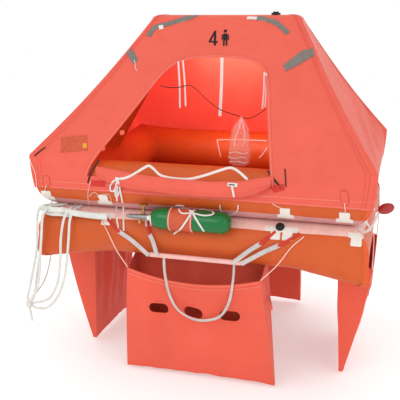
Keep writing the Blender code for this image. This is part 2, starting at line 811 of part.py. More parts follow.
def build_bag_lines(side, middle, half_mouth, patches):
    """The two lines that hold a bag's mouth open, from patches on the lower band down to the mouth's corners."""
    outward = Vector((*next(s[2] for s in SIDES if s[0] == side), 0))
    along = Vector((-outward.y, outward.x, 0))
    half = HALF_Y if outward.x == 0 else HALF_X
    face = TUBE_RADIUS + BAND_THICKNESS + LINE_RADIUS + 2 * GAP
    for number, (end, patch) in enumerate(((-1, patches[0]), (1, patches[1])), 1):
        corner = middle + end * (half_mouth - 0.002)
        route = (
            (patch, face * math.cos(LINE_ANGLE), TUBE_RADIUS + face * math.sin(LINE_ANGLE)),
            (patch + (corner - patch) * 0.28, face + 0.003, TUBE_RADIUS + 0.02),
            (patch + (corner - patch) * 0.62, BAG_MOUTH_OUT - 0.001, TUBE_RADIUS - 0.09),
            (corner, BAG_MOUTH_OUT - 0.002, BAG_MOUTH_HEIGHT + LINE_RADIUS),
        )
        places = [outward * (half + out) + along * a + Vector((0, 0, at(height))) for a, out, height in route]
        cord(f"bag_{side}_line_{number}", smooth_route(places, 3), LINE_RADIUS, "webbing")


# Mooring bridle: (name, route as x, y, height, direction in which the strand leaves the knot)
GROOVE_OUT = 0.0405
GROOVE_HEIGHT = 2 * TUBE_RADIUS
STRAND_RADIUS = 0.006
KNOT_CENTRE = (-1.018, -0.853, -0.335)
KNOT_RADIUS = 0.022
BRIDLE = (
    (
        "bridle_strand_1",
        ((-0.846, None, 0.270), (-0.880, -0.757, 0.272), (-0.922, -0.812, 0.272), (-0.938, -0.838, 0.228),
         (-0.945, -0.843, 0.12), (-0.953, -0.845, 0.012), (-0.985, -0.850, -0.13), (-1.012, -0.855, -0.24)),
        (-0.10, -0.15, 1.0),
    ),
    (
        "bridle_strand_2",
        ((-0.826, None, 0.270), (-0.850, -0.757, 0.268), (-0.892, -0.812, 0.262), (-0.909, -0.842, 0.21),
         (-0.913, -0.845, 0.12), (-0.928, -0.847, 0.01), (-0.955, -0.850, -0.13), (-0.972, -0.848, -0.23)),
        (0.45, 0.30, 0.85),
    ),
    (
        "bridle_strand_3",
        ((-0.806, None, 0.270), (-0.828, -0.757, 0.274), (-0.868, -0.815, 0.276), (-0.892, -0.856, 0.235),
         (-0.905, -0.864, 0.12), (-0.918, -0.866, 0.0), (-0.930, -0.868, -0.12), (-0.950, -0.872, -0.22)),
        (0.50, -0.45, 0.75),
    ),
    (
        "bridle_strand_4",
        ((-0.735, None, 0.270), (-0.737, -0.757, 0.270), (-0.742, -0.812, 0.268), (-0.768, -0.840, 0.215),
         (-0.790, -0.846, 0.10), (-0.799, -0.848, -0.02), (-0.822, -0.850, -0.17), (-0.872, -0.852, -0.272),
         (-0.930, -0.852, -0.308)),
        (0.95, 0.05, 0.30),
    ),
    (
        "bridle_strand_5",
        ((-0.712, None, 0.270), (-0.714, -0.757, 0.268), (-0.722, -0.812, 0.258), (-0.733, -0.840, 0.20),
         (-0.741, -0.846, 0.10), (-0.756, -0.848, -0.02), (-0.782, -0.850, -0.16), (-0.832, -0.852, -0.275),
         (-0.900, -0.853, -0.345)),
        (0.93, -0.05, -0.36),
    ),
)
SIDE_STRAND = (
    (None, -0.600, 0.270), (-0.900, -0.600, 0.270), (-0.955, -0.602, 0.266), (-0.978, -0.605, 0.20),
    (-0.980, -0.615, 0.08), (-0.975, -0.630, -0.05), (-0.974, -0.670, -0.15), (-0.980, -0.740, -0.235),
)
SIDE_STRAND_DIRECTION = (0.0, 0.85, 0.55)
TAIL_DIRECTION = (0.14, -0.05, -1.0)
TAIL_LENGTH = 0.085


def build_bridle():
    """Limp strands that run from the groove between the tubes to one knot below the front left corner."""
    knot = Vector((KNOT_CENTRE[0], KNOT_CENTRE[1], at(KNOT_CENTRE[2])))
    strands = [*BRIDLE, ("bridle_strand_6", SIDE_STRAND, SIDE_STRAND_DIRECTION)]
    for name, route, direction in strands:
        places = []
        for x, y, height in route:
            x = -HALF_X - GROOVE_OUT if x is None else x
            y = -HALF_Y - GROOVE_OUT if y is None else y
            places.append(Vector((x, y, at(height))))
        way = Vector(direction).normalized()
        places += [knot + way * (KNOT_RADIUS + 0.030), knot + way * (KNOT_RADIUS + GAP)]
        cord(name, smooth_route(places, 3), STRAND_RADIUS, "rope")
    profile = []
    for k in range(9):
        angle = math.pi * (k / 8 - 0.5) * 0.94
        profile.append((KNOT_RADIUS * math.sin(angle), KNOT_RADIUS * math.cos(angle)))
    turned("bridle_knot", profile, "rope", knot, "Z", 16)
    way = Vector(TAIL_DIRECTION).normalized()
    cord("bridle_tail", [knot + way * (KNOT_RADIUS + GAP + TAIL_LENGTH * k / 4) for k in range(5)], STRAND_RADIUS, "rope")


# Oval float on a short strap, at the front end of the right side
FLOAT_CENTRE = (1.020, -0.700, 0.375)
FLOAT_HALF = (0.043, 0.020, 0.029)
FLOAT_TILT = math.radians(-22)


def build_float():
    profile = []
    for k in range(11):
        angle = math.pi * (k / 10 - 0.5) * 0.96
        profile.append((math.sin(angle), math.cos(angle)))
    body = turned("line_float", profile, "float_plastic", (0, 0, 0), "X", 16)
    body.data.transform(Matrix.Diagonal((*FLOAT_HALF, 1)))
    body.data.transform(Matrix.Rotation(FLOAT_TILT, 4, "Y"))
    body.location = (FLOAT_CENTRE[0], FLOAT_CENTRE[1], at(FLOAT_CENTRE[2]))
    lying = TUBE_RADIUS + BAND_THICKNESS + 0.7 * WEB_THICKNESS
    route = []
    for degrees in (59, 53, 47):
        angle = math.radians(degrees)
        route.append((HALF_X + lying * math.cos(angle), TUBE_RADIUS + lying * math.sin(angle)))
    route += [(0.936, 0.250), (0.962, 0.290), (0.978, 0.335), (0.992, 0.362)]
    strap = ribbon("float_strap", [(x, FLOAT_CENTRE[1], at(h)) for x, h in route], 0.018, WEB_THICKNESS, (1, 0, 0), "webbing")
    boolean(body, strap, "UNION")


def main():
    clear_scene()
    lower_tube()
    upper_tube()
    build_floor()
    build_arch()
    build_canopy()
    door_roll()
    upper_seat, lower_seat = upper_tube("upper_band_seat", GAP), lower_tube("lower_band_seat", GAP)
    grab_band("upper_grab_band", "upper", UPPER_TUBE_Z, UPPER_SWELL, -4, -3, -1, upper_seat)
    grab_band("lower_grab_band", "lower", LOWER_TUBE_Z, LOWER_SWELL, 4, 3, 2, lower_seat)
    for side, middle, half_mouth, half_foot, patches in BAGS:
        build_bag(side, middle, half_mouth, half_foot, lower_seat)
        build_bag_lines(side, middle, half_mouth, patches)
    build_cylinder()
    build_inlet()
    build_lamp()
    build_relief_valve()
    build_ladder()
    build_foot_loop()
    build_bridle()
    build_float()


main()
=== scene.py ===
# %% [markdown]
# # A life raft for four people
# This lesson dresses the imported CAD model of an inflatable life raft: two stacked air tubes, a tent
# canopy over one arch, ballast bags, a boarding ladder, a gas cylinder and a mooring bridle.
# The CAD gives every size and place. Blender adds what cloth, rubber, webbing and paint look like.
# All lengths are metres. Heights in the tables are above the keel, which lies 40 mm under water.

# %% Load the frame
import math

import bmesh
import bpy
from mathutils import Matrix, Vector, noise
from mathutils.bvhtree import BVHTree


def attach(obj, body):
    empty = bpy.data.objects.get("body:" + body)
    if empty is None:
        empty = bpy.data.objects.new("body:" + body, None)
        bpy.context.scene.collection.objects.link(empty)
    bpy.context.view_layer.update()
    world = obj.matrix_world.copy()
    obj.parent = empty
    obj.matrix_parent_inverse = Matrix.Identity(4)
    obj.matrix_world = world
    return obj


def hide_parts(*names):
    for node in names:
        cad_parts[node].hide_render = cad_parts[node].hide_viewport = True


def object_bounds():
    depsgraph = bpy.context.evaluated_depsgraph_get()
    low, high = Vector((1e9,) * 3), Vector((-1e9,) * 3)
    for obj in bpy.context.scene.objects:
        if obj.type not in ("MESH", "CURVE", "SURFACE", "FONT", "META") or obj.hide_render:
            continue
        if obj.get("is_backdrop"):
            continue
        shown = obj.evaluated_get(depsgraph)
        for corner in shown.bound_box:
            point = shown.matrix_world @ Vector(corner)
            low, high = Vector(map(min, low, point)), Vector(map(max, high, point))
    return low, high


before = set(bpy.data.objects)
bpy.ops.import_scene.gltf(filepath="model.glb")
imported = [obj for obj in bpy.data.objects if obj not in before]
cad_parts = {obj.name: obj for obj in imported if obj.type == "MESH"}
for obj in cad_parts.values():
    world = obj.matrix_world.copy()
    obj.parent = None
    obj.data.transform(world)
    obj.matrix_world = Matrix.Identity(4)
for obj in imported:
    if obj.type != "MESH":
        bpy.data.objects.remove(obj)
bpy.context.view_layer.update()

# %% [markdown]
# ## Camera
# The camera was fitted to the raft's corners, the ridge and the cylinder in the photograph. A sight line
# through a pixel of its 400 x 400 frame then finds the place of small trim on the cloth or tube that
# carries it.

# %% Camera and sight lines
PHOTO_SIDE = 400
LENS, SENSOR = 62.70, 36.0
EYE_PLACE = (1.0524, -4.3519, 1.2530)
EYE_TILT = (76.042, -0.186, 16.0)


def placed(name, data):
    """A new object, linked to the scene."""
    obj = bpy.data.objects.new(name, data)
    bpy.context.scene.collection.objects.link(obj)
    return obj


eye = placed("photo_camera", bpy.data.cameras.new("photo_camera"))
eye.data.lens = LENS
eye.data.sensor_width = SENSOR
eye.location = EYE_PLACE
eye.rotation_euler = [math.radians(tilt) for tilt in EYE_TILT]
bpy.context.scene.camera = eye
bpy.context.view_layer.update()
EYE_TURN = eye.matrix_world.to_3x3()


def sight(u, v):
    """Direction of the sight line through a pixel."""
    focal = LENS / SENSOR * PHOTO_SIDE
    half = PHOTO_SIDE / 2
    return (EYE_TURN @ Vector(((u - half) / focal, (half - v) / focal, -1))).normalized()


# %% [markdown]
# ## Shared tools
# Most pieces are skins over rings of points, or straps that follow a route. A few helpers make such
# meshes, give each its finish, and tell the frame which CAD body it rides on and which node it replaces.

# %% Hull sizes, as in the CAD
DRAUGHT = 0.04
TUBE_RADIUS = 0.135
GAP = 0.0004
HALF_X, HALF_Y = 0.815, 0.6725
SIDES = (
    ("front", (-1, -1), (0, -1)),
    ("right", (1, -1), (1, 0)),
    ("rear", (1, 1), (0, 1)),
    ("left", (-1, 1), (-1, 0)),
)
SIDE_NAMES = [name for name, _, _ in SIDES]


def at(height):
    """Z of a height above the keel."""
    return height - DRAUGHT


def side_frame(side):
    """Start corner, direction along, outward direction and length of a hull side."""
    _, start, outward = SIDES[side]
    along = Vector((-outward[1], outward[0], 0))
    corner = Vector((start[0] * HALF_X, start[1] * HALF_Y, 0))
    return corner, along, Vector((*outward, 0)), 2 * (HALF_X if outward[0] == 0 else HALF_Y)


def side_place(side_name, along, out, height):
    """A place beside a hull side, counted along from the side's middle."""
    corner, ahead, normal, length = side_frame(SIDE_NAMES.index(side_name))
    return corner + ahead * (length / 2 + along) + normal * out + Vector((0, 0, at(height)))


# %% Helpers for points
def evenly(low, high, count):
    """Evenly spaced values from low to high, both included."""
    return [low + (high - low) * k / count for k in range(count + 1)]


def around(count, shift=0.0):
    """Cosine and sine of evenly spaced turns round a circle."""
    turns = [2 * math.pi * (k + shift) / count for k in range(count)]
    return [(math.cos(turn), math.sin(turn)) for turn in turns]


def smooth_route(points, steps):
    """Points on a Catmull-Rom curve through a route's own points."""
    route = [Vector(p) for p in points]
    route = [2 * route[0] - route[1], *route, 2 * route[-1] - route[-2]]
    made = []
    for p0, p1, p2, p3 in zip(route, route[1:], route[2:], route[3:]):
        for k in range(steps):
            t = k / steps
            made.append(0.5 * (2 * p1 + (p2 - p0) * t + (2 * p0 - 5 * p1 + 4 * p2 - p3) * t**2
                               + (3 * p1 - 3 * p2 + p3 - p0) * t**3))
    return [*made, route[-2]]


def headings(route):
    """Unit tangents along a route."""
    last = len(route) - 1
    return [(route[min(i + 1, last)] - route[max(i - 1, 0)]).normalized() for i in range(last + 1)]


def sections(route, outline, facing):
    """An outline of (across, out) set across a route. facing is one direction or one for each point."""
    rings = []
    for i, (p, ahead) in enumerate(zip(route, headings(route))):
        face = Vector(facing[i] if isinstance(facing, list) else facing)
        across = ahead.cross(face).normalized()
        out = across.cross(ahead).normalized()
        rings.append([p + across * a + out * o for a, o in outline])
    return rings


STRAP_OUTLINE = ((-1, -0.4), (-0.94, -1), (0, -1.1), (0.94, -1), (1, -0.4),
                 (1, 0.4), (0.94, 1), (0, 1.1), (-0.94, 1), (-1, 0.4))


def strap_rings(route, width, thickness, facing):
    """Rings of a flat strap with rounded edges."""
    return sections(route, [(a * width / 2, o * thickness / 2) for a, o in STRAP_OUTLINE], facing)


def rope_rings(route, wide, high, facing, sides=12):
    """Rings of an oval cord whose broad side faces one way."""
    return sections(route, [(c * wide / 2, s * high / 2) for c, s in around(sides)], facing)


def grid_normals(rows, inside):
    """Outward normals of a grid, pointing away from a place inside."""
    height, width = len(rows), len(rows[0])
    normals = []
    for r, row in enumerate(rows):
        line = []
        for c, place in enumerate(row):
            across = row[min(c + 1, width - 1)] - row[max(c - 1, 0)]
            up = rows[min(r + 1, height - 1)][c] - rows[max(r - 1, 0)][c]
            n = across.cross(up)
            n = n.normalized() if n.length > 1e-12 else Vector((0, 0, 1))
            line.append(-n if n.dot(place - inside) < 0 else n)
        normals.append(line)
    return normals


# %% Helpers for faces
def lofted(rings, closed_path=False):
    """Points and faces of a skin over rings with equal counts, capped unless the path closes."""
    count = len(rings[0])
    points = [p for ring in rings for p in ring]
    faces = []
    for i in range(len(rings) if closed_path else len(rings) - 1):
        a, b = i * count, (i + 1) % len(rings) * count
        for j in range(count):
            k = (j + 1) % count
            faces.append((a + j, a + k, b + k, b + j))
    if not closed_path:
        faces.append(tuple(range(count)))
        faces.append(tuple(reversed(range(len(points) - count, len(points)))))
    return points, faces


def grid_cells(rows):
    """Faces of one layer of a grid of points."""
    width = len(rows[0])
    starts = [r * width + c for r in range(len(rows) - 1) for c in range(width - 1)]
    return [(a, a + 1, a + width + 1, a + width) for a in starts]


def tree_over(rows):
    """A search tree over one layer of a grid of points."""
    return BVHTree.FromPolygons([p for row in rows for p in row], grid_cells(rows))


def closed_sheet(front, behind):
    """Points and faces of a closed sheet with two layers of points."""
    height, width = len(front), len(front[0])
    back = height * width
    cells = grid_cells(front)
    faces = cells + [tuple(back + a for a in reversed(cell)) for cell in cells]
    for r in range(height - 1):
        for a in (r * width, (r + 1) * width - 1):
            faces.append((a, a + width, back + a + width, back + a))
    for r in (0, height - 1):
        for a in range(r * width, (r + 1) * width - 1):
            faces.append((a, a + 1, back + a + 1, back + a))
    return [p for row in (*front, *behind) for p in row], faces


def skin_sheet(rows, normals, thickness):
    """A closed sheet between some rows and the same rows set back along their normals."""
    behind = [[p - n * thickness for p, n in zip(row, line)] for row, line in zip(rows, normals)]
    return closed_sheet(rows, behind)


# %% Helpers for pieces
def worked(mesh, *steps):
    """Runs bmesh steps over all faces of a mesh."""
    shell = bmesh.new()
    shell.from_mesh(mesh)
    for step in steps:
        step(shell, faces=shell.faces)
    shell.to_mesh(mesh)
    shell.free()


def smoothed(mesh, angle):
    """Smooth shading, with an edge kept sharp where the faces turn by more than an angle."""
    mesh.shade_smooth()
    mesh.set_sharp_from_angle(angle=math.radians(angle))


def enlist(obj, nodes=()):
    """Tells the frame the piece's body, and the nodes that it stands for."""
    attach(obj, "root")
    if nodes:
        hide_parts(*nodes)


def piece(name, points, faces, finish, slot, nodes=(), angle=50.0, outward=True):
    """A finished mesh object. It has one finish or a list of finishes."""
    mesh = bpy.data.meshes.new(name)
    mesh.from_pydata([tuple(p) for p in points], [], faces)
    if outward:
        worked(mesh, bmesh.ops.recalc_face_normals)
    smoothed(mesh, angle)
    for made in finish if isinstance(finish, list) else [finish]:
        mesh.materials.append(made)
    obj = placed(name, mesh)
    enlist(obj, nodes)
    return obj


def skin(name, rings, finish, slot, nodes=(), angle=60, closed_path=False):
    """A piece that is a skin over rings."""
    return piece(name, *lofted(rings, closed_path), finish, slot, nodes, angle)


def strap(name, route, width, thickness, facing, finish, slot="webbing", nodes=()):
    """A piece that is a flat strap along a route."""
    return skin(name, strap_rings(route, width, thickness, facing), finish, slot, nodes, 70)


ALONG_X = Matrix.Rotation(math.pi / 2, 3, "Y")
ALONG_Z = Matrix.Identity(3)


def turned(name, profile, centre, turn, sides, finish, slot, nodes=(), angle=40.0):
    """A solid turned from (along, radius) pairs, its axis set by a matrix."""
    rings = []
    for along, radius in profile:
        spots = [Vector((radius * c, radius * s, along)) for c, s in around(sides)]
        rings.append([Vector(centre) + turn @ spot for spot in spots])
    return skin(name, rings, finish, slot, nodes, angle)


def join_pieces(name, objs, nodes=()):
    """Joins finished meshes with one finish into one piece."""
    shell = bmesh.new()
    for obj in objs:
        shell.from_mesh(obj.data)
    mesh = bpy.data.meshes.new(name)
    shell.to_mesh(mesh)
    shell.free()
    mesh.materials.append(objs[0].data.materials[0])
    joined = placed(name, mesh)
    for obj in objs:
        bpy.data.objects.remove(obj)
    enlist(joined, nodes)
    return joined


def plain_mesh(obj):
    """Replaces an object's mesh by what its modifiers make of it."""
    bpy.context.view_layer.update()
    graph = bpy.context.evaluated_depsgraph_get()
    made = bpy.data.meshes.new_from_object(obj.evaluated_get(graph), depsgraph=graph)
    obj.modifiers.clear()
    old = obj.data
    obj.data = made
    bpy.data.meshes.remove(old)


def cut_from(obj, rings):
    """Cuts the form between some rings out of a mesh and leaves a plain mesh."""
    points, faces = lofted(rings)
    mesh = bpy.data.meshes.new("cutter")
    mesh.from_pydata([tuple(p) for p in points], [], faces)
    worked(mesh, bmesh.ops.recalc_face_normals, bmesh.ops.triangulate)
    cutter = placed("cutter", mesh)
    step = obj.modifiers.new("cut", "BOOLEAN")
    step.operation = "DIFFERENCE"
    step.object = cutter
    plain_mesh(obj)
    bpy.data.objects.remove(cutter)


def cloth_area(obj, wide, long):
    """The area of one side of a sheet, in square metres, printed beside its share of the cut piece."""
    area = sum(face.area for face in obj.data.polygons) / 2
    print(obj.name, "cloth area", round(area, 3), "share of the cut", round(area / wide / long, 3))
    return area


# %% [markdown]
# ## Finishes
# Coated cloth, air tubes, webbing and paint differ in colour, sheen and the scale of their grain. One
# recipe makes them all: a base colour that drifts a little from place to place, a bump from weave or
# grain, and a roughness that varies. Each call gives one real finish its own numbers.

# %% Material recipe
def linear(screen):
    """Linear colour of a screen colour given from 0 to 255."""
    return tuple((c / 255 / 12.92) if c <= 10 else ((c / 255 + 0.055) / 1.055) ** 2.4 for c in screen)


def finish(name, colour, rough, weave=0.0, pitch=0.0012, drift=0.06, drift_size=0.35, metal=0.0, sheen=0.0,
           coat=0.0, dirt=None, dirt_share=0.4, crease=0.0, crease_size=0.05, see_through=0.0, glow=0.0,
           opaque=1.0, shine=0.3):
    """A node material on object coordinates. Colours are screen colours; drift is a share of the colour."""
    made = bpy.data.materials.new(name)
    made.use_nodes = True
    tree = made.node_tree
    links = tree.links
    shader = tree.nodes["Principled BSDF"]
    spots = tree.nodes.new("ShaderNodeTexCoord").outputs["Object"]

    def cloud(size, detail=3.0):
        node = tree.nodes.new("ShaderNodeTexNoise")
        node.inputs["Scale"].default_value = 1.0 / size
        node.inputs["Detail"].default_value = detail
        links.new(spots, node.inputs["Vector"])
        return node.outputs["Fac"]

    def ramp(source, low, high, a, b):
        node = tree.nodes.new("ShaderNodeMapRange")
        for socket, value in zip(("From Min", "From Max", "To Min", "To Max"), (low, high, a, b)):
            node.inputs[socket].default_value = value
        links.new(source, node.inputs["Value"])
        return node.outputs["Result"]

    def mixed(share, a, b):
        node = tree.nodes.new("ShaderNodeMix")
        node.data_type = "RGBA"
        links.new(share, node.inputs["Factor"])
        for socket, value in ((node.inputs[6], a), (node.inputs[7], b)):
            if isinstance(value, tuple):
                socket.default_value = (*value, 1.0)
            else:
                links.new(value, socket)
        return node.outputs[2]

    colour = linear(colour)
    dark = tuple(c * (1 - drift) for c in colour)
    light = tuple(min(1.0, c * (1 + drift)) for c in colour)
    tone = mixed(ramp(cloud(drift_size), 0.3, 0.7, 0.0, 1.0), dark, light)
    if dirt:
        tone = mixed(ramp(cloud(drift_size * 0.3, 8.0), 0.52, 0.75, 0.0, dirt_share), tone, linear(dirt))
    links.new(tone, shader.inputs["Base Color"])
    gloss = ramp(cloud(0.03), 0.3, 0.7, max(0.02, rough - 0.06), min(1.0, rough + 0.06))
    links.new(gloss, shader.inputs["Roughness"])
    # glow makes a surface give off light in its own colour. On the canopy's lining this is painted light; on
    # the studio floor it only evens out the backdrop.
    for socket, value in (
        ("Metallic", metal), ("Specular IOR Level", shine), ("Sheen Weight", sheen), ("Coat Weight", coat),
        ("Subsurface Weight", see_through), ("Subsurface Radius", (0.02, 0.008, 0.004)),
        ("Emission Color", (*colour, 1.0)), ("Emission Strength", glow), ("Alpha", opaque),
    ):
        shader.inputs[socket].default_value = value
    height = ramp(cloud(crease_size, 4.0), 0.25, 0.75, 0.0, crease) if crease else None
    for direction in "XYZ" if weave else "":
        threads = tree.nodes.new("ShaderNodeTexWave")
        threads.bands_direction = direction
        threads.inputs["Scale"].default_value = 0.5 / pitch / math.pi
        links.new(spots, threads.inputs["Vector"])
        step = tree.nodes.new("ShaderNodeMath")
        step.operation = "MULTIPLY_ADD"
        links.new(threads.outputs["Fac"], step.inputs[0])
        step.inputs[1].default_value = weave / 3
        step.inputs[2].default_value = 0.0
        if height is not None:
            links.new(height, step.inputs[2])
        height = step.outputs[0]
    if height is not None:
        bump = tree.nodes.new("ShaderNodeBump")
        bump.inputs["Strength"].default_value = 1.0
        bump.inputs["Distance"].default_value = 1.0
        links.new(height, bump.inputs["Height"])
        links.new(bump.outputs["Normal"], shader.inputs["Normal"])
    return made


# %% Cloth and rubber
canopy_cloth = finish("canopy_cloth", (223, 93, 75), 0.6, weave=0.00012, drift=0.04, sheen=0.04,
                      dirt=(218, 78, 58), dirt_share=0.35, crease=0.0022, crease_size=0.09, see_through=0.10)
# The canopy's inner face is lighter and redder than its outer face and glows a little. This is painted light,
# for daylight shining through the red cloth into the tent.
canopy_lining = finish("canopy_lining", (236, 86, 70), 0.6, weave=0.00012, crease=0.001, crease_size=0.10,
                       see_through=0.35, glow=0.34)
bag_cloth = finish("bag_cloth", (223, 88, 65), 0.62, weave=0.00015, drift=0.05, sheen=0.1, crease=0.0026,
                   crease_size=0.06, see_through=0.10)
tube_rubber = finish("tube_rubber", (200, 85, 32), 0.45, weave=0.00008, pitch=0.0009, drift=0.07,
                     dirt=(188, 70, 26), crease=0.0016, crease_size=0.12)
seam_tape_rubber = finish("seam_tape_rubber", (214, 88, 40), 0.5, weave=0.00008, drift=0.05, drift_size=0.1)
floor_cloth = finish("floor_cloth", (196, 70, 40), 0.55, weave=0.00012, drift=0.08, crease=0.002,
                     crease_size=0.08)
patch_white = finish("patch_white", (226, 220, 210), 0.5, weave=0.00006, drift=0.05, drift_size=0.05,
                     dirt=(190, 176, 160))
# Painted shade: this mauve is the band's pale colour darkened for the groove's shadow, where the upper band
# lies.
band_painted_shade = finish("band_painted_shade", (200, 140, 138), 0.55, weave=0.0001, drift=0.08, drift_size=0.08,
                    dirt=(170, 110, 108))
band_pale = finish("band_pale", (232, 186, 176), 0.55, weave=0.0001, drift_size=0.08, dirt=(210, 150, 140))
label_brown = finish("label_brown", (196, 84, 52), 0.6, weave=0.0001, drift=0.1, drift_size=0.02)
label_yellow = finish("label_yellow", (214, 156, 34), 0.5, drift=0.08, drift_size=0.02)
clear_film = finish("clear_film", (255, 176, 160), 0.12, drift=0.1, drift_size=0.05, coat=0.8, crease=0.004,
                    crease_size=0.02, opaque=0.30)

# %% Webbing, tape and rope
WEB_WEAVE = {"weave": 0.0002, "pitch": 0.0016, "drift_size": 0.06, "sheen": 0.1}
web_white = finish("web_white", (222, 213, 208), 0.75, drift=0.05, dirt=(214, 186, 172), dirt_share=0.3,
                   **WEB_WEAVE)
web_pink = finish("web_pink", (236, 192, 182), 0.75, **WEB_WEAVE)
web_grey = finish("web_grey", (196, 188, 184), 0.75, weave=0.0003, pitch=0.0016, drift=0.10, drift_size=0.04,
                  dirt=(160, 150, 146))
rung_sleeve_pink = finish("rung_sleeve_pink", (232, 178, 170), 0.6, weave=0.00015, drift=0.07,
                          drift_size=0.08)
sleeve_red = finish("sleeve_red", (200, 48, 40), 0.6, weave=0.00015, drift=0.08, drift_size=0.05)
rope_grey = finish("rope_grey", (214, 214, 208), 0.8, weave=0.0003, pitch=0.002, drift=0.07, drift_size=0.05,
                   dirt=(178, 176, 168), dirt_share=0.35)
reflective_grey = finish("reflective_grey", (122, 116, 110), 0.38, weave=0.0002, pitch=0.003, drift=0.12,
                         drift_size=0.03, metal=0.25)
ink_black = finish("ink_black", (22, 14, 14), 0.6, weave=0.0001, drift=0.2, drift_size=0.02)
zip_black = finish("zip_black", (48, 22, 24), 0.5, weave=0.0002, pitch=0.002, drift=0.2, drift_size=0.02)

# %% Paint, metal and plastic
METAL_GRAIN = {"drift_size": 0.02, "metal": 0.9, "crease": 0.0001, "crease_size": 0.004}
cylinder_green = finish("cylinder_green", (0, 108, 48), 0.22, drift=0.05, drift_size=0.2, coat=0.2,
                        crease=0.0001, crease_size=0.01)
dull_steel = finish("dull_steel", (150, 150, 150), 0.35, drift=0.1, **METAL_GRAIN)
valve_brass = finish("valve_brass", (176, 140, 80), 0.32, drift=0.12, **METAL_GRAIN)
black_rubber = finish("black_rubber", (24, 22, 24), 0.5, drift=0.2, drift_size=0.02)
float_red = finish("float_red", (166, 44, 44), 0.35, drift=0.08, drift_size=0.03, coat=0.2)
lens_clear = finish("lens_clear", (236, 236, 232), 0.1, drift=0.05, coat=0.8, shine=0.5)
print("finishes", len(bpy.data.materials))

# %% [markdown]
# ## Air tubes
# Each tube is a round skin swept once round the hull, mitred at the corners. Air swells a mitred corner,
# and the cloth puckers beside the weld. A rule gives every point of the skin, so the same rule later
# seats patches, bands and straps on the tube.

# %% The tube's skin as a rule
SWELL_REACH, MITRE_REACH = 0.30, 0.17
LOWER = (at(TUBE_RADIUS), (-1, 0.30, 0.70))
UPPER = (at(3 * TUBE_RADIUS) + GAP, (1, 0.12, 0.30))


def tube_skin(level, side, distance, angle, lift=0.0):
    """A point of a tube's skin, lifted off it a little. The angle is counted from straight outwards."""
    centre_z, (swelling_side, most_rise, most_push) = level
    corner, along, normal, length = side_frame(side)
    near_end = max(0.0, min(distance, length - distance))
    swell = max(0.0, 1.0 - near_end / SWELL_REACH) ** 1.5
    rise = math.sin(angle)
    amount = swell * min(1.0, max(0.0, rise * swelling_side) * 4)
    radius = TUBE_RADIUS + lift
    out = radius * (math.cos(angle) + most_push * amount * rise * rise)
    up = radius * rise * (1 + most_rise * amount)
    to_end, to_start = (max(0.0, 1 - max(0.0, d) / MITRE_REACH) for d in (length - distance, distance))
    upward = Vector((0, 0, centre_z + up))
    return corner + along * (distance + out * (to_end - to_start)) + normal * out + upward


# %% Upper and lower tube
TUBE_ANGLES = evenly(0, 2 * math.pi, 72)[:-1]
STATIONS = [0, 0.004, 0.012, 0.022, 0.035, 0.05, 0.07, 0.095, 0.12, 0.145, 0.17, 0.20, 0.24, 0.28]
PUCKER_DEPTH, PUCKER_REACH, UNEVEN = 0.0028, 0.07, 0.0012


def air_tube(name, level, seed, node):
    """A tube with small folds beside its corner welds and the slow unevenness of a long tube."""
    rings = []
    for side in range(4):
        length = side_frame(side)[3]
        middle = evenly(0.32, length - 0.32, 14)
        for distance in [*STATIONS, *middle, *[length - s for s in reversed(STATIONS[1:])]]:
            near_end = min(distance, length - distance)
            depth = PUCKER_DEPTH * math.exp(-((near_end / PUCKER_REACH) ** 2)) if near_end else 0.0
            ring = []
            for angle in TUBE_ANGLES:
                dent = -depth * (0.5 + 0.5 * math.cos(11 * angle + seed + side))
                p = tube_skin(level, side, distance, angle, dent)
                slow = noise.noise(Vector((p.x * 3, p.y * 3, p.z * 3 + seed))) * UNEVEN
                ring.append(tube_skin(level, side, distance, angle, dent + slow))
            rings.append(ring)
    return skin(name, rings, tube_rubber, "tube_fabric", [node], closed_path=True)


air_tube("lower_tube_skin", LOWER, 1.0, "lower_tube")
air_tube("upper_tube_skin", UPPER, 5.0, "upper_tube")

# %% [markdown]
# ## Welds, bands and patches on the tubes
# A strip or patch on a tube is laid out flat as rows of (distance along, arc round the tube) and then
# carried onto the skin, a fraction of a millimetre proud, as glued rubber is. Two flat bands run round
# the hull beside the groove, one on each tube. The upper one lies in the groove's shadow, and its darker
# mauve colour is painted shade; the lower one, in light, is pale. White T-shaped patches hold the
# canopy's cords, the ladder and the bags' lines.

# %% Corner welds of both tubes
WELD_HALF, GLUED, SUNK = 0.014, 0.0006, -0.002
for tube_name, level in (("lower", LOWER), ("upper", UPPER)):
    welds = []
    for side in range(4):
        before = (side - 1) % 4
        before_end = side_frame(before)[3] - WELD_HALF
        rings = []
        for angle in evenly(0, 2 * math.pi, 64)[:-1]:
            rings.append([
                tube_skin(level, side, WELD_HALF, angle, GLUED),
                tube_skin(level, side, 0.0, angle, GLUED + 0.001),
                tube_skin(level, before, before_end, angle, GLUED),
                tube_skin(level, side, 0.0, angle, SUNK),
            ])
        welds.append(skin(f"{tube_name}_weld_{side}", rings, seam_tape_rubber, "tube_fabric",
                          closed_path=True))
    join_pieces(f"{tube_name}_corner_welds", welds)

# %% Bands
STEP = math.radians(15)
BAND_THICKNESS, BAND_WOBBLE = 0.0022, 0.05


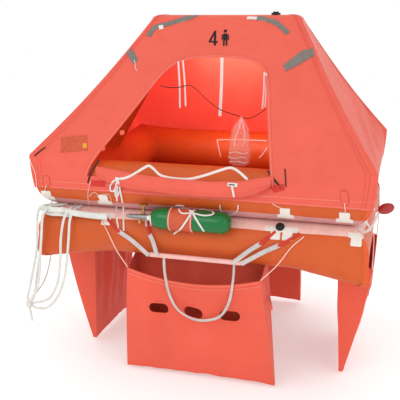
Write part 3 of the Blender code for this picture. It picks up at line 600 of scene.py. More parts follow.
def ring_strip(name, level, low, high, finish_name, node):
    """A strip right round the hull between two angles, as four lengths that meet at the corners."""
    lengths = []
    for side in range(4):
        rings = []
        for distance in evenly(0, side_frame(side)[3], 60):
            wave = BAND_WOBBLE * noise.noise(Vector((distance * 6 + side * 9, low * 3, 1.7)))
            angles = evenly(low + wave, high + wave, 6)
            ring = []
            for angle in angles:
                on_edge = angle in (angles[0], angles[-1])
                proud = GLUED + BAND_THICKNESS * (0.5 if on_edge else 1.0)
                ring.append(tube_skin(level, side, distance, angle, proud))
            rings.append(ring + [tube_skin(level, side, distance, angle, SUNK) for angle in reversed(angles)])
        lengths.append(skin(f"{name}_{side}", rings, finish_name, "patch_rubber"))
    join_pieces(name, lengths, [node])


# The upper band's mauve finish is painted shade.
ring_strip("upper_band", UPPER, -5.3 * STEP, -2.6 * STEP, band_painted_shade, "upper_grab_band")
ring_strip("lower_band", LOWER, 2.75 * STEP, 5.3 * STEP, band_pale, "lower_grab_band")

# %% T patches
SIDE_PATCHES, REAR_PATCHES = (-0.4725, 0.0, 0.4775), (-0.565, 0.0, 0.565)
PATCHES = {
    "upper": ((-0.898, -0.538, 0.504, 0.814), (-0.47, 0.0, 0.47), REAR_PATCHES, (-0.47, 0.0, 0.47)),
    "lower": ((-0.528, 0.455, 0.520, 0.880), SIDE_PATCHES, REAR_PATCHES, SIDE_PATCHES),
}
PATCH_FOOT_HALF, PATCH_LIFT, PATCH_THICKNESS = 0.045, 0.0030, 0.0016
PATCH_PROFILE = ((0.0, 1.0), (0.10, 1.0), (0.74, 0.98), (0.84, 0.90), (0.90, 0.66), (0.98, 0.60), (1.2, 0.58),
                 (1.5, 0.60), (1.8, 0.62), (2.03, 0.60), (2.15, 0.52))
TWIN_BAR_MIDDLE, TWIN_BAR_HALF = 0.484 + HALF_X, 0.090


def tube_patch(name, level, side, rows, lift=PATCH_LIFT, across=8):
    """A closed patch from rows of (angle, low distance, high distance)."""
    outer, inner = [], []
    for index, (angle, low, high) in enumerate(rows):
        distances = evenly(low, high, across)
        top = []
        for k, distance in enumerate(distances):
            on_edge = index in (0, len(rows) - 1) or k in (0, across)
            top.append(tube_skin(level, side, distance, angle,
                                 lift + PATCH_THICKNESS * (0.4 if on_edge else 1)))
        outer.append(top)
        inner.append([tube_skin(level, side, distance, angle, lift * 0.2 + SUNK) for distance in distances])
    return piece(name, *closed_sheet(outer, inner), patch_white, "patch_rubber", (), 60)


def distance_at(level, side, place, angle):
    """The distance along a side at which the skin lies at a place, which differs beside a mitre."""
    corner, along, _, length = side_frame(side)
    low, high = 0.0, length
    for _ in range(30):
        middle = (low + high) / 2
        if (tube_skin(level, side, middle, angle) - corner).dot(along) < place:
            low = middle
        else:
            high = middle
    return low


def t_patch(name, level, side, centre, base_angle, direction):
    """The foot lies along the band, the stem points away from the groove."""
    rows = []
    for share, wide in PATCH_PROFILE:
        half = PATCH_FOOT_HALF * wide
        angle = base_angle + direction * share * STEP
        rows.append((angle, *(distance_at(level, side, centre + end * half, angle) for end in (-1, 1))))
    return tube_patch(name, level, side, rows)


T_PATCH_ROWS = (("upper", UPPER, -3.35 * STEP, 1), ("lower", LOWER, 3.6 * STEP, -1))
for tube_name, level, base, direction in T_PATCH_ROWS:
    made = []
    for side, centres in enumerate(PATCHES[tube_name]):
        half = side_frame(side)[3] / 2
        for number, centre in enumerate(centres):
            made.append(t_patch(f"{tube_name}_patch_{side}_{number}", level, side, centre + half, base,
                                direction))
    if tube_name == "lower":
        low, high = TWIN_BAR_MIDDLE - TWIN_BAR_HALF, TWIN_BAR_MIDDLE + TWIN_BAR_HALF
        rows = [(base - 0.9 * STEP * k / 4, low, high) for k in range(5)]
        made.append(tube_patch("twin_bar", level, 0, rows, PATCH_LIFT + 0.0002, 24))
    join_pieces(f"{tube_name}_patches", made)
    print(tube_name, "patches", len(made))

# %% [markdown]
# ## Tent canopy
# The canopy is four coated cloth panels, taut from the hull to the ridge and lying on the upper tube at
# the hem. A rule gives each panel's surface, so the sheets can be dense and smooth, and soft folds are
# added where the cloth is less taut.

# %% Canopy lines
CLOTH, SKIN_OFFSET = 0.0016, 0.0036
RIDGE_Y, RIDGE_HALF, RIDGE_END_HALF, RIDGE_HEIGHT = -0.08, 0.40, 0.012, 1.365
SHOULDER_DROP, SHOULDER_OUT, HIP_SAG = 0.03, 0.068, 0.03
EAVE_X, EAVE_Y, EAVE_HEIGHT = 0.972, 0.829, 0.578
HIP_FOOT = ((0.957, 0.8145, 0.385), (0.960, 0.8175, 0.405), (0.966, 0.8235, 0.455), (0.970, 0.8270, 0.505),
            (0.972, 0.8290, 0.545), (0.972, 0.829, 0.578))
FIRST_SLOPE, SHOULDER_ROW, RIDGE_ROW = 5, 9, 10
REAR = 2


def side_line(half, ridge_out, leave_step, row):
    """(out, height) at the middle of a side, for a row from the hem, 0, to the ridge, 10."""
    centre = UPPER[0] + DRAUGHT
    radius = TUBE_RADIUS + SKIN_OFFSET
    if row <= 1:
        return half + radius, centre - 0.02 * (1 - row)
    lying = min(row - 1, leave_step) * STEP
    foot = (half + radius * math.cos(lying), centre + radius * math.sin(lying))
    if row - 1 <= leave_step:
        return foot
    top = (ridge_out + SHOULDER_OUT, RIDGE_HEIGHT - SHOULDER_DROP)
    if row >= SHOULDER_ROW:
        turn = (row - SHOULDER_ROW) * math.pi / 2
        return ridge_out + SHOULDER_OUT * math.cos(turn), top[1] + SHOULDER_DROP * math.sin(turn)
    knots = ((leave_step + 1, 0.0), (FIRST_SLOPE, 0.1), (SHOULDER_ROW, 1.0))
    for (r0, s0), (r1, s1) in zip(knots, knots[1:]):
        if r0 <= row <= r1:
            share = s0 + (s1 - s0) * (row - r0) / (r1 - r0)
    return tuple(f + (t - f) * share for f, t in zip(foot, top))


def hip_line(row):
    """(x, y of the front hip, y of the rear hip, height)."""
    if row <= FIRST_SLOPE:
        low = min(int(row), FIRST_SLOPE - 1)
        x, y, height = (a + (b - a) * (row - low) for a, b in zip(HIP_FOOT[low], HIP_FOOT[low + 1]))
        return x, -y, y, height
    top_x, top_height = RIDGE_HALF + SHOULDER_OUT - 0.01, RIDGE_HEIGHT - SHOULDER_DROP
    if row >= SHOULDER_ROW:
        turn = (row - SHOULDER_ROW) * math.pi / 2
        c, s = math.cos(turn), math.sin(turn)
        y = RIDGE_END_HALF + (SHOULDER_OUT - RIDGE_END_HALF) * c
        x = RIDGE_HALF + (top_x - RIDGE_HALF) * c
        return x, RIDGE_Y - y, RIDGE_Y + y, top_height + SHOULDER_DROP * s
    s = (row - FIRST_SLOPE) / (SHOULDER_ROW - FIRST_SLOPE)
    return (
        EAVE_X + (top_x - EAVE_X) * s,
        -EAVE_Y + (RIDGE_Y - SHOULDER_OUT + EAVE_Y) * s,
        EAVE_Y + (RIDGE_Y + SHOULDER_OUT - EAVE_Y) * s,
        EAVE_HEIGHT + (top_height - EAVE_HEIGHT) * s - HIP_SAG * math.sin(math.pi * s),
    )


def canopy_point(side, share, row):
    """A point of a canopy panel. share runs from -1 to 1 between its hips."""
    x, front_y, rear_y, hip_height = hip_line(row)
    w = abs(share) ** 3
    if side % 2:
        turn = 1 if side == 1 else -1
        out, height = side_line(HALF_X, RIDGE_HALF, 2, row)
        middle_y, half_y = (front_y + rear_y) / 2, (rear_y - front_y) / 2
        flat = (turn * (out + (x - out) * w), middle_y + turn * half_y * share)
    else:
        sign = 1 if side == 0 else -1
        out, height = side_line(HALF_Y, -sign * RIDGE_Y, 3 if side == REAR else 2, row)
        hip_y = rear_y if side == REAR else front_y
        flat = (sign * x * share, -sign * out + (hip_y + sign * out) * w)
    return Vector((*flat, at(height + (hip_height - height) * w)))


# %% Canopy folds
ROWS = [0, 0.35, 0.7, *evenly(1, 4, 12), *evenly(4, 5, 5)[1:], *evenly(5, 9, 44)[1:], *evenly(9, 10, 8)[1:]]
COLUMNS = 96
TENT_MIDDLE = Vector((0, RIDGE_Y, at(0.5)))


def fold(side, share, row, place):
    """How far the cloth stands out of its taut shape. It stays taut where it lies on the tube."""
    rim = (1 - abs(share) ** 8) * min(1.0, RIDGE_ROW - row)
    slack = math.exp(-((row - 5.2) / 1.6) ** 2)
    drape = 0.0065 * slack * math.sin(place.x * 17 + place.y * 13 + side * 2.1 + 1.5 * math.sin(place.x * 7))
    slow = 0.009 * noise.noise(Vector((place.x * 2.4, place.y * 2.4 + side * 3, place.z * 2.4)))
    pull = 0.0065 * noise.noise(Vector((place.x * 7, place.y * 7, place.z * 2.2 + side)))
    lie = min(1.0, max(0.0, row - (4.0 if side == REAR else 2.6)))
    off_arch = 1 - math.exp(-(((place.y - RIDGE_Y) / 0.13) ** 2))
    return rim * lie * off_arch * (drape + slow + pull)


def canopy_grid(side):
    """Rows of places on a panel, and their normals."""
    shares = evenly(-1, 1, COLUMNS)
    rows = [[canopy_point(side, share, r) for share in shares] for r in ROWS]
    moved = []
    for r, row, line in zip(ROWS, rows, grid_normals(rows, TENT_MIDDLE)):
        moved.append([p + n * fold(side, share, r, p) for share, p, n in zip(shares, row, line)])
    return moved, grid_normals(moved, TENT_MIDDLE)


# %% Canopy sheets
CANOPY_CUTS = ((1.99, 1.26), (1.68, 1.18), (1.99, 1.36), (1.68, 1.18))
# Each row of the entrance's outline is a height, and x at the left and the right.
DOOR_OUTLINE = (
    (0.470, -0.630, 0.430), (0.560, -0.600, 0.408), (0.795, -0.456, 0.357), (0.920, -0.382, 0.335),
    (1.010, -0.322, 0.310), (1.070, -0.262, 0.275), (1.105, -0.180, 0.210), (1.122, -0.060, 0.100),
)
door_route = [(left, 0, height) for height, left, _ in DOOR_OUTLINE]
door_route += [(right, 0, height) for height, _, right in reversed(DOOR_OUTLINE)]
DOOR_EDGE = smooth_route(door_route, 6)

canopy_trees, canopy_grids = {}, {}
for side, side_name in enumerate(SIDE_NAMES):
    rows, normals = canopy_grids[side_name] = canopy_grid(side)
    canopy_trees[side_name] = tree_over(rows)
    panel = piece(f"canopy_{side_name}_sheet", *skin_sheet(rows, normals, CLOTH),
                  [canopy_cloth, canopy_lining], "canopy_fabric", [f"canopy_{side_name}"], outward=False)
    # The inner face of each panel takes the glowing lining finish, painted light inside the tent.
    cells = (len(ROWS) - 1) * COLUMNS
    for face in panel.data.polygons[cells : 2 * cells]:
        face.material_index = 1
    shell = bmesh.new()
    shell.from_mesh(panel.data)
    if shell.calc_volume(signed=True) < 0:
        bmesh.ops.reverse_faces(shell, faces=shell.faces)
    shell.to_mesh(panel.data)
    shell.free()
    if side_name == "front":
        worked(panel.data, bmesh.ops.triangulate)
        cut_from(panel, [[Vector((p.x, y, at(p.z))) for p in DOOR_EDGE] for y in (-1.1, RIDGE_Y - 0.10)])
        smoothed(panel.data, 50)
    wide, long = CANOPY_CUTS[side]
    area = cloth_area(panel, wide, long)

# %% Hip seams
SEAM_REACH = 0.011


def hip_seam(name, first, second):
    """The felled seam of two panels, bent over the hip."""
    rings = []
    for row_a, line_a, row_b, line_b in zip(*canopy_grids[first], *canopy_grids[second]):
        tip = row_a[-1]
        crown = (line_a[-2] + line_b[1]).normalized()
        halves = []
        for beside, normal in ((row_a[-3], line_a[-2]), (row_b[2], line_b[1])):
            way = beside - tip
            reach = way.normalized() * min(SEAM_REACH, way.length * 0.9)
            halves.append([
                tip + reach + normal * 0.0002,
                tip + reach * 0.93 + normal * 0.0018,
                tip + reach * 0.4 + (normal + crown).normalized() * 0.0022,
            ])
        rings.append([*halves[0], tip + crown * 0.0026, *reversed(halves[1]), tip - crown * 0.003])
    return skin(name, rings, canopy_cloth, "canopy_fabric")


pairs = zip(SIDE_NAMES, SIDE_NAMES[1:] + SIDE_NAMES[:1])
join_pieces("canopy_hip_seams", [hip_seam(f"hip_{a}_{b}", a, b) for a, b in pairs])

# %% [markdown]
# ## Arch tube and floor
# One bent air tube stands on the side tubes and carries the canopy. The floor is a cloth skin welded
# under the lower tube. Both show only through the entrance and from below.

# %% Arch tube
ARCH_SKIN_WIDE = 2 * (0.075 - 0.0015)
ARCH_HALF = ((0.812, 0.480), (0.790, 0.560), (0.420, 1.190), (0.375, 1.250), (0.300, 1.2866))
arch_ends = [(-x, RIDGE_Y, at(h)) for x, h in ARCH_HALF]
arch_ends += [(x, RIDGE_Y, at(h)) for x, h in reversed(ARCH_HALF)]
arch_rings = rope_rings(smooth_route(arch_ends, 8), ARCH_SKIN_WIDE, ARCH_SKIN_WIDE, (0, 1, 0), 40)
skin("arch_skin", arch_rings, tube_rubber, "tube_fabric", ["arch_tube"])

# %% Floor skin
FLOOR_TOP, FLOOR_THICKNESS, FLOOR_SAG = 0.030, 0.018, 0.004
rows = []
for y in evenly(-HALF_Y, HALF_Y, 40):
    line = []
    for x in evenly(-HALF_X, HALF_X, 48):
        rim = min(HALF_X - abs(x), HALF_Y - abs(y))
        sag = FLOOR_SAG * noise.noise(Vector((x * 5, y * 5, 2.0))) * min(1.0, rim / 0.1)
        line.append(Vector((x, y, at(FLOOR_TOP) + sag)))
    rows.append(line)
upwards = [[Vector((0, 0, 1))] * len(line) for line in rows]
piece("floor_skin", *skin_sheet(rows, upwards, FLOOR_THICKNESS), floor_cloth, "floor_fabric", ["floor"])

# %% [markdown]
# ## Entrance flap
# The entrance's lower flap is let down and lies as a soft roll over the upper tube. Rings along its route
# swell and shrink with a slow noise, and a crease runs under the fold, so the roll looks hand-rolled.

# %% Entrance flap
FLAP_ROUTE = ((-0.56, 0.020, 0.505), (-0.45, 0.032, 0.478), (-0.28, 0.037, 0.458), (0.0, 0.038, 0.446),
              (0.22, 0.037, 0.452), (0.34, 0.032, 0.475), (0.43, 0.020, 0.508))
FLAP_HALF_OUT, FLAP_HALF_UP, FLAP_CREASE = 0.031, 0.045, 0.006
flap_face = HALF_Y + TUBE_RADIUS + SKIN_OFFSET - 0.009
flap_line = smooth_route([(x, -(flap_face + out), at(h)) for x, out, h in FLAP_ROUTE], 16)
flap_rings = []
for place, share in zip(flap_line, evenly(0, 1, len(flap_line) - 1)):
    size = min(1.0, 0.60 + 2.6 * min(share, 1 - share))
    ring = []
    for c, s in around(40):
        ripple = size * (1 + 0.05 * noise.noise(Vector((place.x * 14, s * 1.2, c * 1.2))))
        crease = FLAP_CREASE * math.exp(-(((s + 0.45) / 0.10) ** 2)) if c > 0 else 0.0
        ring.append(place + Vector((0, -(FLAP_HALF_OUT * ripple - crease) * c, FLAP_HALF_UP * ripple * s)))
    flap_rings.append(ring)
flap = skin("entrance_flap", flap_rings, canopy_cloth, "canopy_fabric", ["door_roll"], 70)

# %% [markdown]
# ## Ballast bags
# Four open bags hang from the lower tube and fill with water. Each is a thin cloth shell: an outer wall
# whose mouth stands open and sags between its lines, an inner wall, and a sharp foot. Three hemmed holes
# let the water in.

# %% Bag shapes
# Each row is the side, the middle, half the mouth, half the foot, the lines' patches, and the folds' seed.
BAGS = (
    ("front", 0.0, 0.39, 0.46, (-0.556, 0.610), 0.0),
    ("right", -0.10, 0.36, 0.30, SIDE_PATCHES[::2], 1.7),
    ("rear", 0.0, 0.39, 0.42, REAR_PATCHES[::2], 3.4),
    ("left", 0.08, 0.36, 0.30, SIDE_PATCHES[::2], 5.1),
)
BAG_MOUTH_OUT, BAG_MOUTH_HEIGHT, BAG_MOUTH_SAG = 0.150, -0.050, 0.060
BAG_SEAM_OUT, BAG_SEAM_HEIGHT, BAG_FOOT_HEIGHT, BAG_FOOT_HALF = -0.050, 0.030, -0.740, 0.012
BAG_WALL, FOOT_RUFFLE = 0.0018, 0.022
BAG_CUT = (2.0, 0.80)
HOLE_HALF_LENGTH, HOLE_RADIUS, HOLE_SPACING, HOLE_HEIGHT = 0.060, 0.035, 0.21, -0.290
HOLES = [number * HOLE_SPACING for number in (-1, 0, 1)]


def bag_wall(bag, u, outer_side, depth, inset=0.0):
    """(along, out, height) on a bag's wall, with the soft folds of hanging cloth."""
    _, _, half_mouth, half_foot, _, seed = bag
    hang = math.sin(math.pi * min(1.0, depth * 1.1))
    if outer_side:
        top = BAG_MOUTH_HEIGHT - BAG_MOUTH_SAG * (1 - u * u)
        out = BAG_MOUTH_OUT + (BAG_FOOT_HALF - BAG_MOUTH_OUT) * depth**1.3
    else:
        top = BAG_SEAM_HEIGHT
        out = BAG_SEAM_OUT + (-BAG_FOOT_HALF - BAG_SEAM_OUT) * depth
    drape = 0.008 * math.sin(u * 7 + seed + 1.2 * depth) + 0.007 * math.sin(u * 15 + seed * 2 - depth * 2)
    drape += 0.018 * noise.noise(Vector((u * 2.2 + seed, depth * 3.0, seed)))
    out += (1 if outer_side else -1) * (drape * hang * (1 - u**6) - inset)
    ruffle = FOOT_RUFFLE * (0.5 + 0.5 * noise.noise(Vector((u * 4.5, seed, 3.0)))) * (1 - u**4)
    along = u * (half_mouth - inset + (half_foot - half_mouth) * depth)
    return along, out, top + (BAG_FOOT_HEIGHT + ruffle - top) * depth


def bag_place(bag, along, out, height):
    """The place of (along, out, height), with along counted from the bag's middle."""
    return side_place(bag[0], bag[1] + along, out, height)


def bag_ring(bag, depth, inset):
    """A ring round both walls at a depth."""
    walls = [(u, True) for u in evenly(-1, 1, 64)] + [(u, False) for u in evenly(1, -1, 48)]
    ring = []
    for u, outer_side in walls:
        along, out, height = bag_wall(bag, u, outer_side, depth, inset)
        ring.append(bag_place(bag, along, out, height + (inset if depth == 1 else 0)))
    return ring


def hole_outline(count):
    """(along, height) round a long hole."""
    shift = HOLE_HALF_LENGTH - HOLE_RADIUS
    return [(math.copysign(shift, c) + HOLE_RADIUS * c, HOLE_RADIUS * s) for c, s in around(count, 0.5)]


def outer_wall_place(bag, along, height):
    """The place of the outer wall at an along and a height, lifted a little."""
    depth = 0.5
    for _ in range(12):
        u = along / (bag[2] + (bag[3] - bag[2]) * depth)
        out = bag_wall(bag, u, True, depth)[1]
        top = BAG_MOUTH_HEIGHT - BAG_MOUTH_SAG * (1 - u * u)
        depth = (height - top) / (BAG_FOOT_HEIGHT - top)
    return bag_place(bag, along, out + GAP, height)


# %% Bag shells and hems
HEM_OUTLINE = ((-1, 0), (-0.6, 0.0017), (0.6, 0.0017), (1, 0), (0.6, -0.002), (-0.6, -0.002))
HEM_HALF, MOUTH_HEM_WIDE, MOUTH_HEM_THICK, MOUTH_HEM_DROP = 0.0055, 0.022, 0.0048, 0.009
hole_hems, mouth_hems = [], []
for bag in BAGS:
    side_name = bag[0]
    normal = side_frame(SIDE_NAMES.index(side_name))[2]
    rings = [bag_ring(bag, depth, 0.0) for depth in evenly(1, 0, 48)]
    rings += [bag_ring(bag, depth, BAG_WALL) for depth in evenly(0, 1, 48)]
    shell = skin(f"bag_{side_name}_shell", rings, bag_cloth, "bag_fabric", [f"bag_{side_name}"], 50)
    worked(shell.data, bmesh.ops.triangulate)
    for hole in HOLES:
        spots = [(hole + a, HOLE_HEIGHT + h) for a, h in hole_outline(32)]
        cut_from(shell, [[bag_place(bag, a, out, h) for a, h in spots] for out in (0.03, 0.30)])
        route = [outer_wall_place(bag, hole + a * 1.06, HOLE_HEIGHT + h * 1.08) for a, h in hole_outline(40)]
        rings = []
        for before, place, after in zip(route[-1:] + route, route, route[1:] + route[:1]):
            sideways = (after - before).normalized().cross(normal).normalized()
            rings.append([place + sideways * s * HEM_HALF + normal * n for s, n in HEM_OUTLINE])
        hole_hems.append(skin(f"{side_name}_hem_{hole}", rings, bag_cloth, "bag_fabric", closed_path=True))
    smoothed(shell.data, 50)
    wide, long = BAG_CUT
    area = cloth_area(shell, wide, long)
    mouth = [bag_wall(bag, u, True, 0.0) for u in evenly(-1, 1, 64)]
    route = [bag_place(bag, a, o - BAG_WALL / 2, h - MOUTH_HEM_DROP) for a, o, h in mouth]
    rings = strap_rings(route, MOUTH_HEM_WIDE, MOUTH_HEM_THICK, normal)
    mouth_hems.append(skin(f"{side_name}_mouth_hem", rings, bag_cloth, "bag_fabric"))
join_pieces("bag_hole_hems", hole_hems)
join_pieces("bag_mouth_hems", mouth_hems)

# %% Bag lines
LINE_RADIUS = 0.003
LINE_ANGLE = math.radians(33)
line_face = TUBE_RADIUS + 0.003 + LINE_RADIUS + 2 * GAP
for side_name, middle, half_mouth, _, patches, _ in BAGS:
    normal = side_frame(SIDE_NAMES.index(side_name))[2]
    for number, (end, patch) in enumerate(zip((-1, 1), patches), 1):
        away = middle + end * (half_mouth - 0.002) - patch
        route = (
            (patch, line_face * math.cos(LINE_ANGLE), TUBE_RADIUS + line_face * math.sin(LINE_ANGLE)),
            (patch + away * 0.28, line_face + 0.003, TUBE_RADIUS + 0.02),
            (patch + away * 0.62, BAG_MOUTH_OUT - 0.001, TUBE_RADIUS - 0.09),
            (patch + away, BAG_MOUTH_OUT - 0.002, BAG_MOUTH_HEIGHT + LINE_RADIUS),
        )
        places = smooth_route([side_place(side_name, *spot) for spot in route], 8)
        rings = rope_rings(places, 2 * LINE_RADIUS, 2 * LINE_RADIUS, normal)
        skin(f"bag_{side_name}_cord_{number}", rings, web_pink, "webbing", [f"bag_{side_name}_line_{number}"])

# %% [markdown]
# ## Gas cylinder
# A green steel bottle lies in the groove between the tubes, held by a sewn strap. It is turned from its
# profile, as the real one is spun, with the outlet valve at the left and a brass inlet above it.

# %% Cylinder, valve and inlet
CYLINDER_RADIUS, CYLINDER_HALF, CYLINDER_HEIGHT = 0.059, 0.240, 0.262
reach = TUBE_RADIUS + 0.003 + 0.003 + CYLINDER_RADIUS + 4 * GAP
cylinder_out = HALF_Y + math.sqrt(reach**2 - (CYLINDER_HEIGHT - TUBE_RADIUS) ** 2)
CYLINDER_CENTRE = Vector((-0.02, -cylinder_out, at(CYLINDER_HEIGHT)))
quarter = evenly(0, math.pi / 2, 12)
bottle = [(-CYLINDER_HALF, 0.0), (-CYLINDER_HALF, 0.013), (-0.224, 0.0155), (-0.217, 0.021)]
bottle += [(-0.150 - 0.066 * math.cos(turn), 0.022 + 0.037 * math.sin(turn)) for turn in quarter]
bottle += [(along, CYLINDER_RADIUS) for along in evenly(-0.10, 0.14, 4)]
bottle += [(0.185 + 0.055 * math.sin(turn), 0.012 + 0.047 * math.cos(turn)) for turn in quarter[1:]]
bottle.append((CYLINDER_HALF, 0.0))
turned("cylinder_body", bottle, CYLINDER_CENTRE, ALONG_X, 72, cylinder_green, "cylinder_paint",
       ["gas_cylinder"])

NOSE = ((0.0, 0.0), (0.0, 0.013), (-0.003, 0.0165), (-0.010, 0.017), (-0.012, 0.0155), (-0.034, 0.0155),
        (-0.036, 0.017), (-0.044, 0.0165), (-0.047, 0.012), (-0.062, 0.0125), (-0.064, 0.0140),
        (-0.074, 0.0140), (-0.076, 0.0125), (-0.108, 0.0118), (-0.121, 0.0085), (-0.1245, 0.006),
        (-0.1245, 0.0))
nose_start = CYLINDER_CENTRE - Vector((CYLINDER_HALF + GAP, 0, 0))
turned("outlet_valve", NOSE, nose_start, ALONG_X, 40, dull_steel, "steel", ["valve_head"])
INLET = ((0.0, 0.0), (0.0, 0.0085), (0.007, 0.0085), (0.009, 0.0062), (0.020, 0.0062), (0.022, 0.0085),
         (0.030, 0.0085), (0.032, 0.0062), (0.047, 0.0062), (0.049, 0.024), (0.0505, 0.026), (0.0555, 0.026),
         (0.058, 0.022), (0.060, 0.010), (0.061, 0.0))
inlet_start = CYLINDER_CENTRE + Vector((-0.262, 0, 0.017 + GAP))
turned("inlet_valve", INLET, inlet_start, ALONG_Z, 36, valve_brass, "brass", ["inlet_pipe"])

# %% Cylinder strap
BAND_INNER, BAND_WAVE = CYLINDER_RADIUS + GAP, 0.0008
BAND_PROFILE = ((-0.105, 0), (-0.105, 0.0026), (-0.098, 0.0032), (-0.091, 0.0026), (-0.035, 0.0022),
                (0.021, 0.0026), (0.028, 0.0032), (0.035, 0.0026), (0.035, 0))
rings = []
for along, proud in BAND_PROFILE:
    ring = []
    for c, s in around(64):
        wave = BAND_WAVE * noise.noise(Vector((along * 40, c * 3, s * 3))) if proud else 0.0
        r = BAND_INNER + proud + wave
        ring.append(CYLINDER_CENTRE + Vector((along, r * c, r * s)))
    rings.append(ring)
skin("cylinder_band", rings, label_brown, "canopy_fabric", ["cylinder_strap"], closed_path=True)

# %% [markdown]
# ## Boarding ladder
# Webbing straps run from patches on the lower tube to a padded rung, and a second loop of webbing hangs
# below it. Straps are flat bands with rounded edges along a smooth route.

# %% Ladder
WEB_WIDTH, WEB_THICKNESS = 0.025, 0.0025
RUNG_RADIUS, RUNG_HEIGHT = 0.014, 0.045
RUNG_OUT = HALF_Y + 0.156
LADDER_STRAPS = ((-0.530, -0.250), (-0.275, -0.200), (0.455, 0.235), (0.585, 0.283))
LADDER_FACING = (0, -1, 0.15)
SLEEVE_SHARE = 0.36
reach = TUBE_RADIUS + 0.003 + WEB_THICKNESS + 2 * GAP
patch_angle = math.radians(40)
top_height = TUBE_RADIUS + reach * math.sin(patch_angle)
front = -HALF_Y - TUBE_RADIUS - 0.009
for number, (patch_x, foot_x) in enumerate(LADDER_STRAPS, 1):
    name = f"ladder_strap_{number}"
    route = [
        (patch_x, -HALF_Y - reach * math.cos(patch_angle), at(top_height)),
        (patch_x + (foot_x - patch_x) * 0.3, front - 0.003, at(top_height - 0.057)),
        (patch_x + (foot_x - patch_x) * 0.62, front - 0.008, at(top_height - 0.110)),
        (foot_x, -RUNG_OUT - RUNG_RADIUS - 1.4 * WEB_THICKNESS, at(RUNG_HEIGHT)),
    ]
    places = smooth_route(route, 10)
    split = int(len(places) * SLEEVE_SHARE)
    strap(f"{name}_web", places[split:], WEB_WIDTH, WEB_THICKNESS, LADDER_FACING, web_grey, nodes=[name])
    strap(f"{name}_sleeve", places[: split + 2], WEB_WIDTH * 0.62, WEB_THICKNESS * 1.6, LADDER_FACING,
          sleeve_red)

rung = [(-0.255, 0.0), (-0.255, 0.009), (-0.250, 0.0125), (-0.240, RUNG_RADIUS)]
for k in range(1, 40):
    rung.append((-0.240 + 0.51 * k / 40, RUNG_RADIUS * (1 - 0.06 * (0.5 + 0.5 * math.sin(k * 1.9)))))
rung += [(0.270, RUNG_RADIUS), (0.280, 0.0125), (0.285, 0.009), (0.285, 0.0)]
rung_centre = (0.0, -RUNG_OUT, at(RUNG_HEIGHT))
turned("rung_sleeve", rung, rung_centre, ALONG_X, 32, rung_sleeve_pink, "webbing", ["ladder_rung"])

loop_top = RUNG_HEIGHT - RUNG_RADIUS - GAP
LOOP_ROUTE = ((-0.165, loop_top), (-0.160, -0.06), (-0.135, -0.18), (-0.085, -0.27), (0.0, -0.315),
              (0.085, -0.315), (0.165, -0.28), (0.215, -0.19), (0.235, -0.06), (0.240, loop_top))
places = smooth_route([(x, -RUNG_OUT, at(h)) for x, h in LOOP_ROUTE], 10)
sways = [0.5 * math.sin(k * 0.13) for k in range(len(places))]
facing = [Vector((sway, -1, 0.2 * sway)) for sway in sways]
strap("foot_loop_web", places, WEB_WIDTH * 0.6, WEB_THICKNESS, facing, web_grey, nodes=["foot_loop"])

# %% [markdown]
# ## Mooring bridle
# Six limp strands of tubular webbing come out of the groove at the front left corner and meet in one
# knot. Each strand's route runs the length that the photograph shows from end to end.

# %% Bridle routes
STRAND_WIDE, STRAND_HIGH = 0.0150, 0.0085
GROOVE_X, GROOVE_Y = -HALF_X - 0.0405, -HALF_Y - 0.0405
KNOT_CENTRE, KNOT_RADIUS = Vector((-1.018, -0.853, at(-0.335))), 0.022
# Each row is the direction from the knot, then (x, y, height) from the groove on.
BRIDLE = (
    ((-0.10, -0.15, 1.0),
     (-0.846, GROOVE_Y, 0.270), (-0.880, -0.757, 0.272), (-0.922, -0.812, 0.272), (-0.938, -0.838, 0.228),
     (-0.945, -0.843, 0.12), (-0.953, -0.845, 0.012), (-0.985, -0.850, -0.13), (-1.012, -0.855, -0.24)),
    ((0.45, 0.30, 0.85),
     (-0.826, GROOVE_Y, 0.270), (-0.850, -0.757, 0.268), (-0.892, -0.812, 0.262), (-0.909, -0.842, 0.21),
     (-0.913, -0.845, 0.12), (-0.928, -0.847, 0.01), (-0.955, -0.850, -0.13), (-0.972, -0.848, -0.23)),
    ((0.50, -0.45, 0.75),
     (-0.806, GROOVE_Y, 0.270), (-0.828, -0.757, 0.274), (-0.868, -0.815, 0.276), (-0.892, -0.856, 0.235),
     (-0.905, -0.864, 0.12), (-0.918, -0.866, 0.0), (-0.930, -0.868, -0.12), (-0.950, -0.872, -0.22)),
    ((0.95, 0.05, 0.30),
     (-0.735, GROOVE_Y, 0.270), (-0.737, -0.757, 0.270), (-0.742, -0.812, 0.268), (-0.768, -0.840, 0.215),
     (-0.790, -0.846, 0.10), (-0.799, -0.848, -0.02), (-0.822, -0.850, -0.17), (-0.872, -0.852, -0.272),
     (-0.930, -0.852, -0.308)),
    ((0.93, -0.05, -0.36),
     (-0.712, GROOVE_Y, 0.270), (-0.714, -0.757, 0.268), (-0.722, -0.812, 0.258), (-0.733, -0.840, 0.20),
     (-0.741, -0.846, 0.10), (-0.756, -0.848, -0.02), (-0.782, -0.850, -0.16), (-0.832, -0.852, -0.275),
     (-0.900, -0.853, -0.345)),
    ((0.0, 0.85, 0.55),
     (GROOVE_X, -0.600, 0.270), (-0.900, -0.600, 0.270), (-0.955, -0.602, 0.266), (-0.978, -0.605, 0.20),
     (-0.980, -0.615, 0.08), (-0.975, -0.630, -0.05), (-0.974, -0.670, -0.15), (-0.980, -0.740, -0.235)),
)

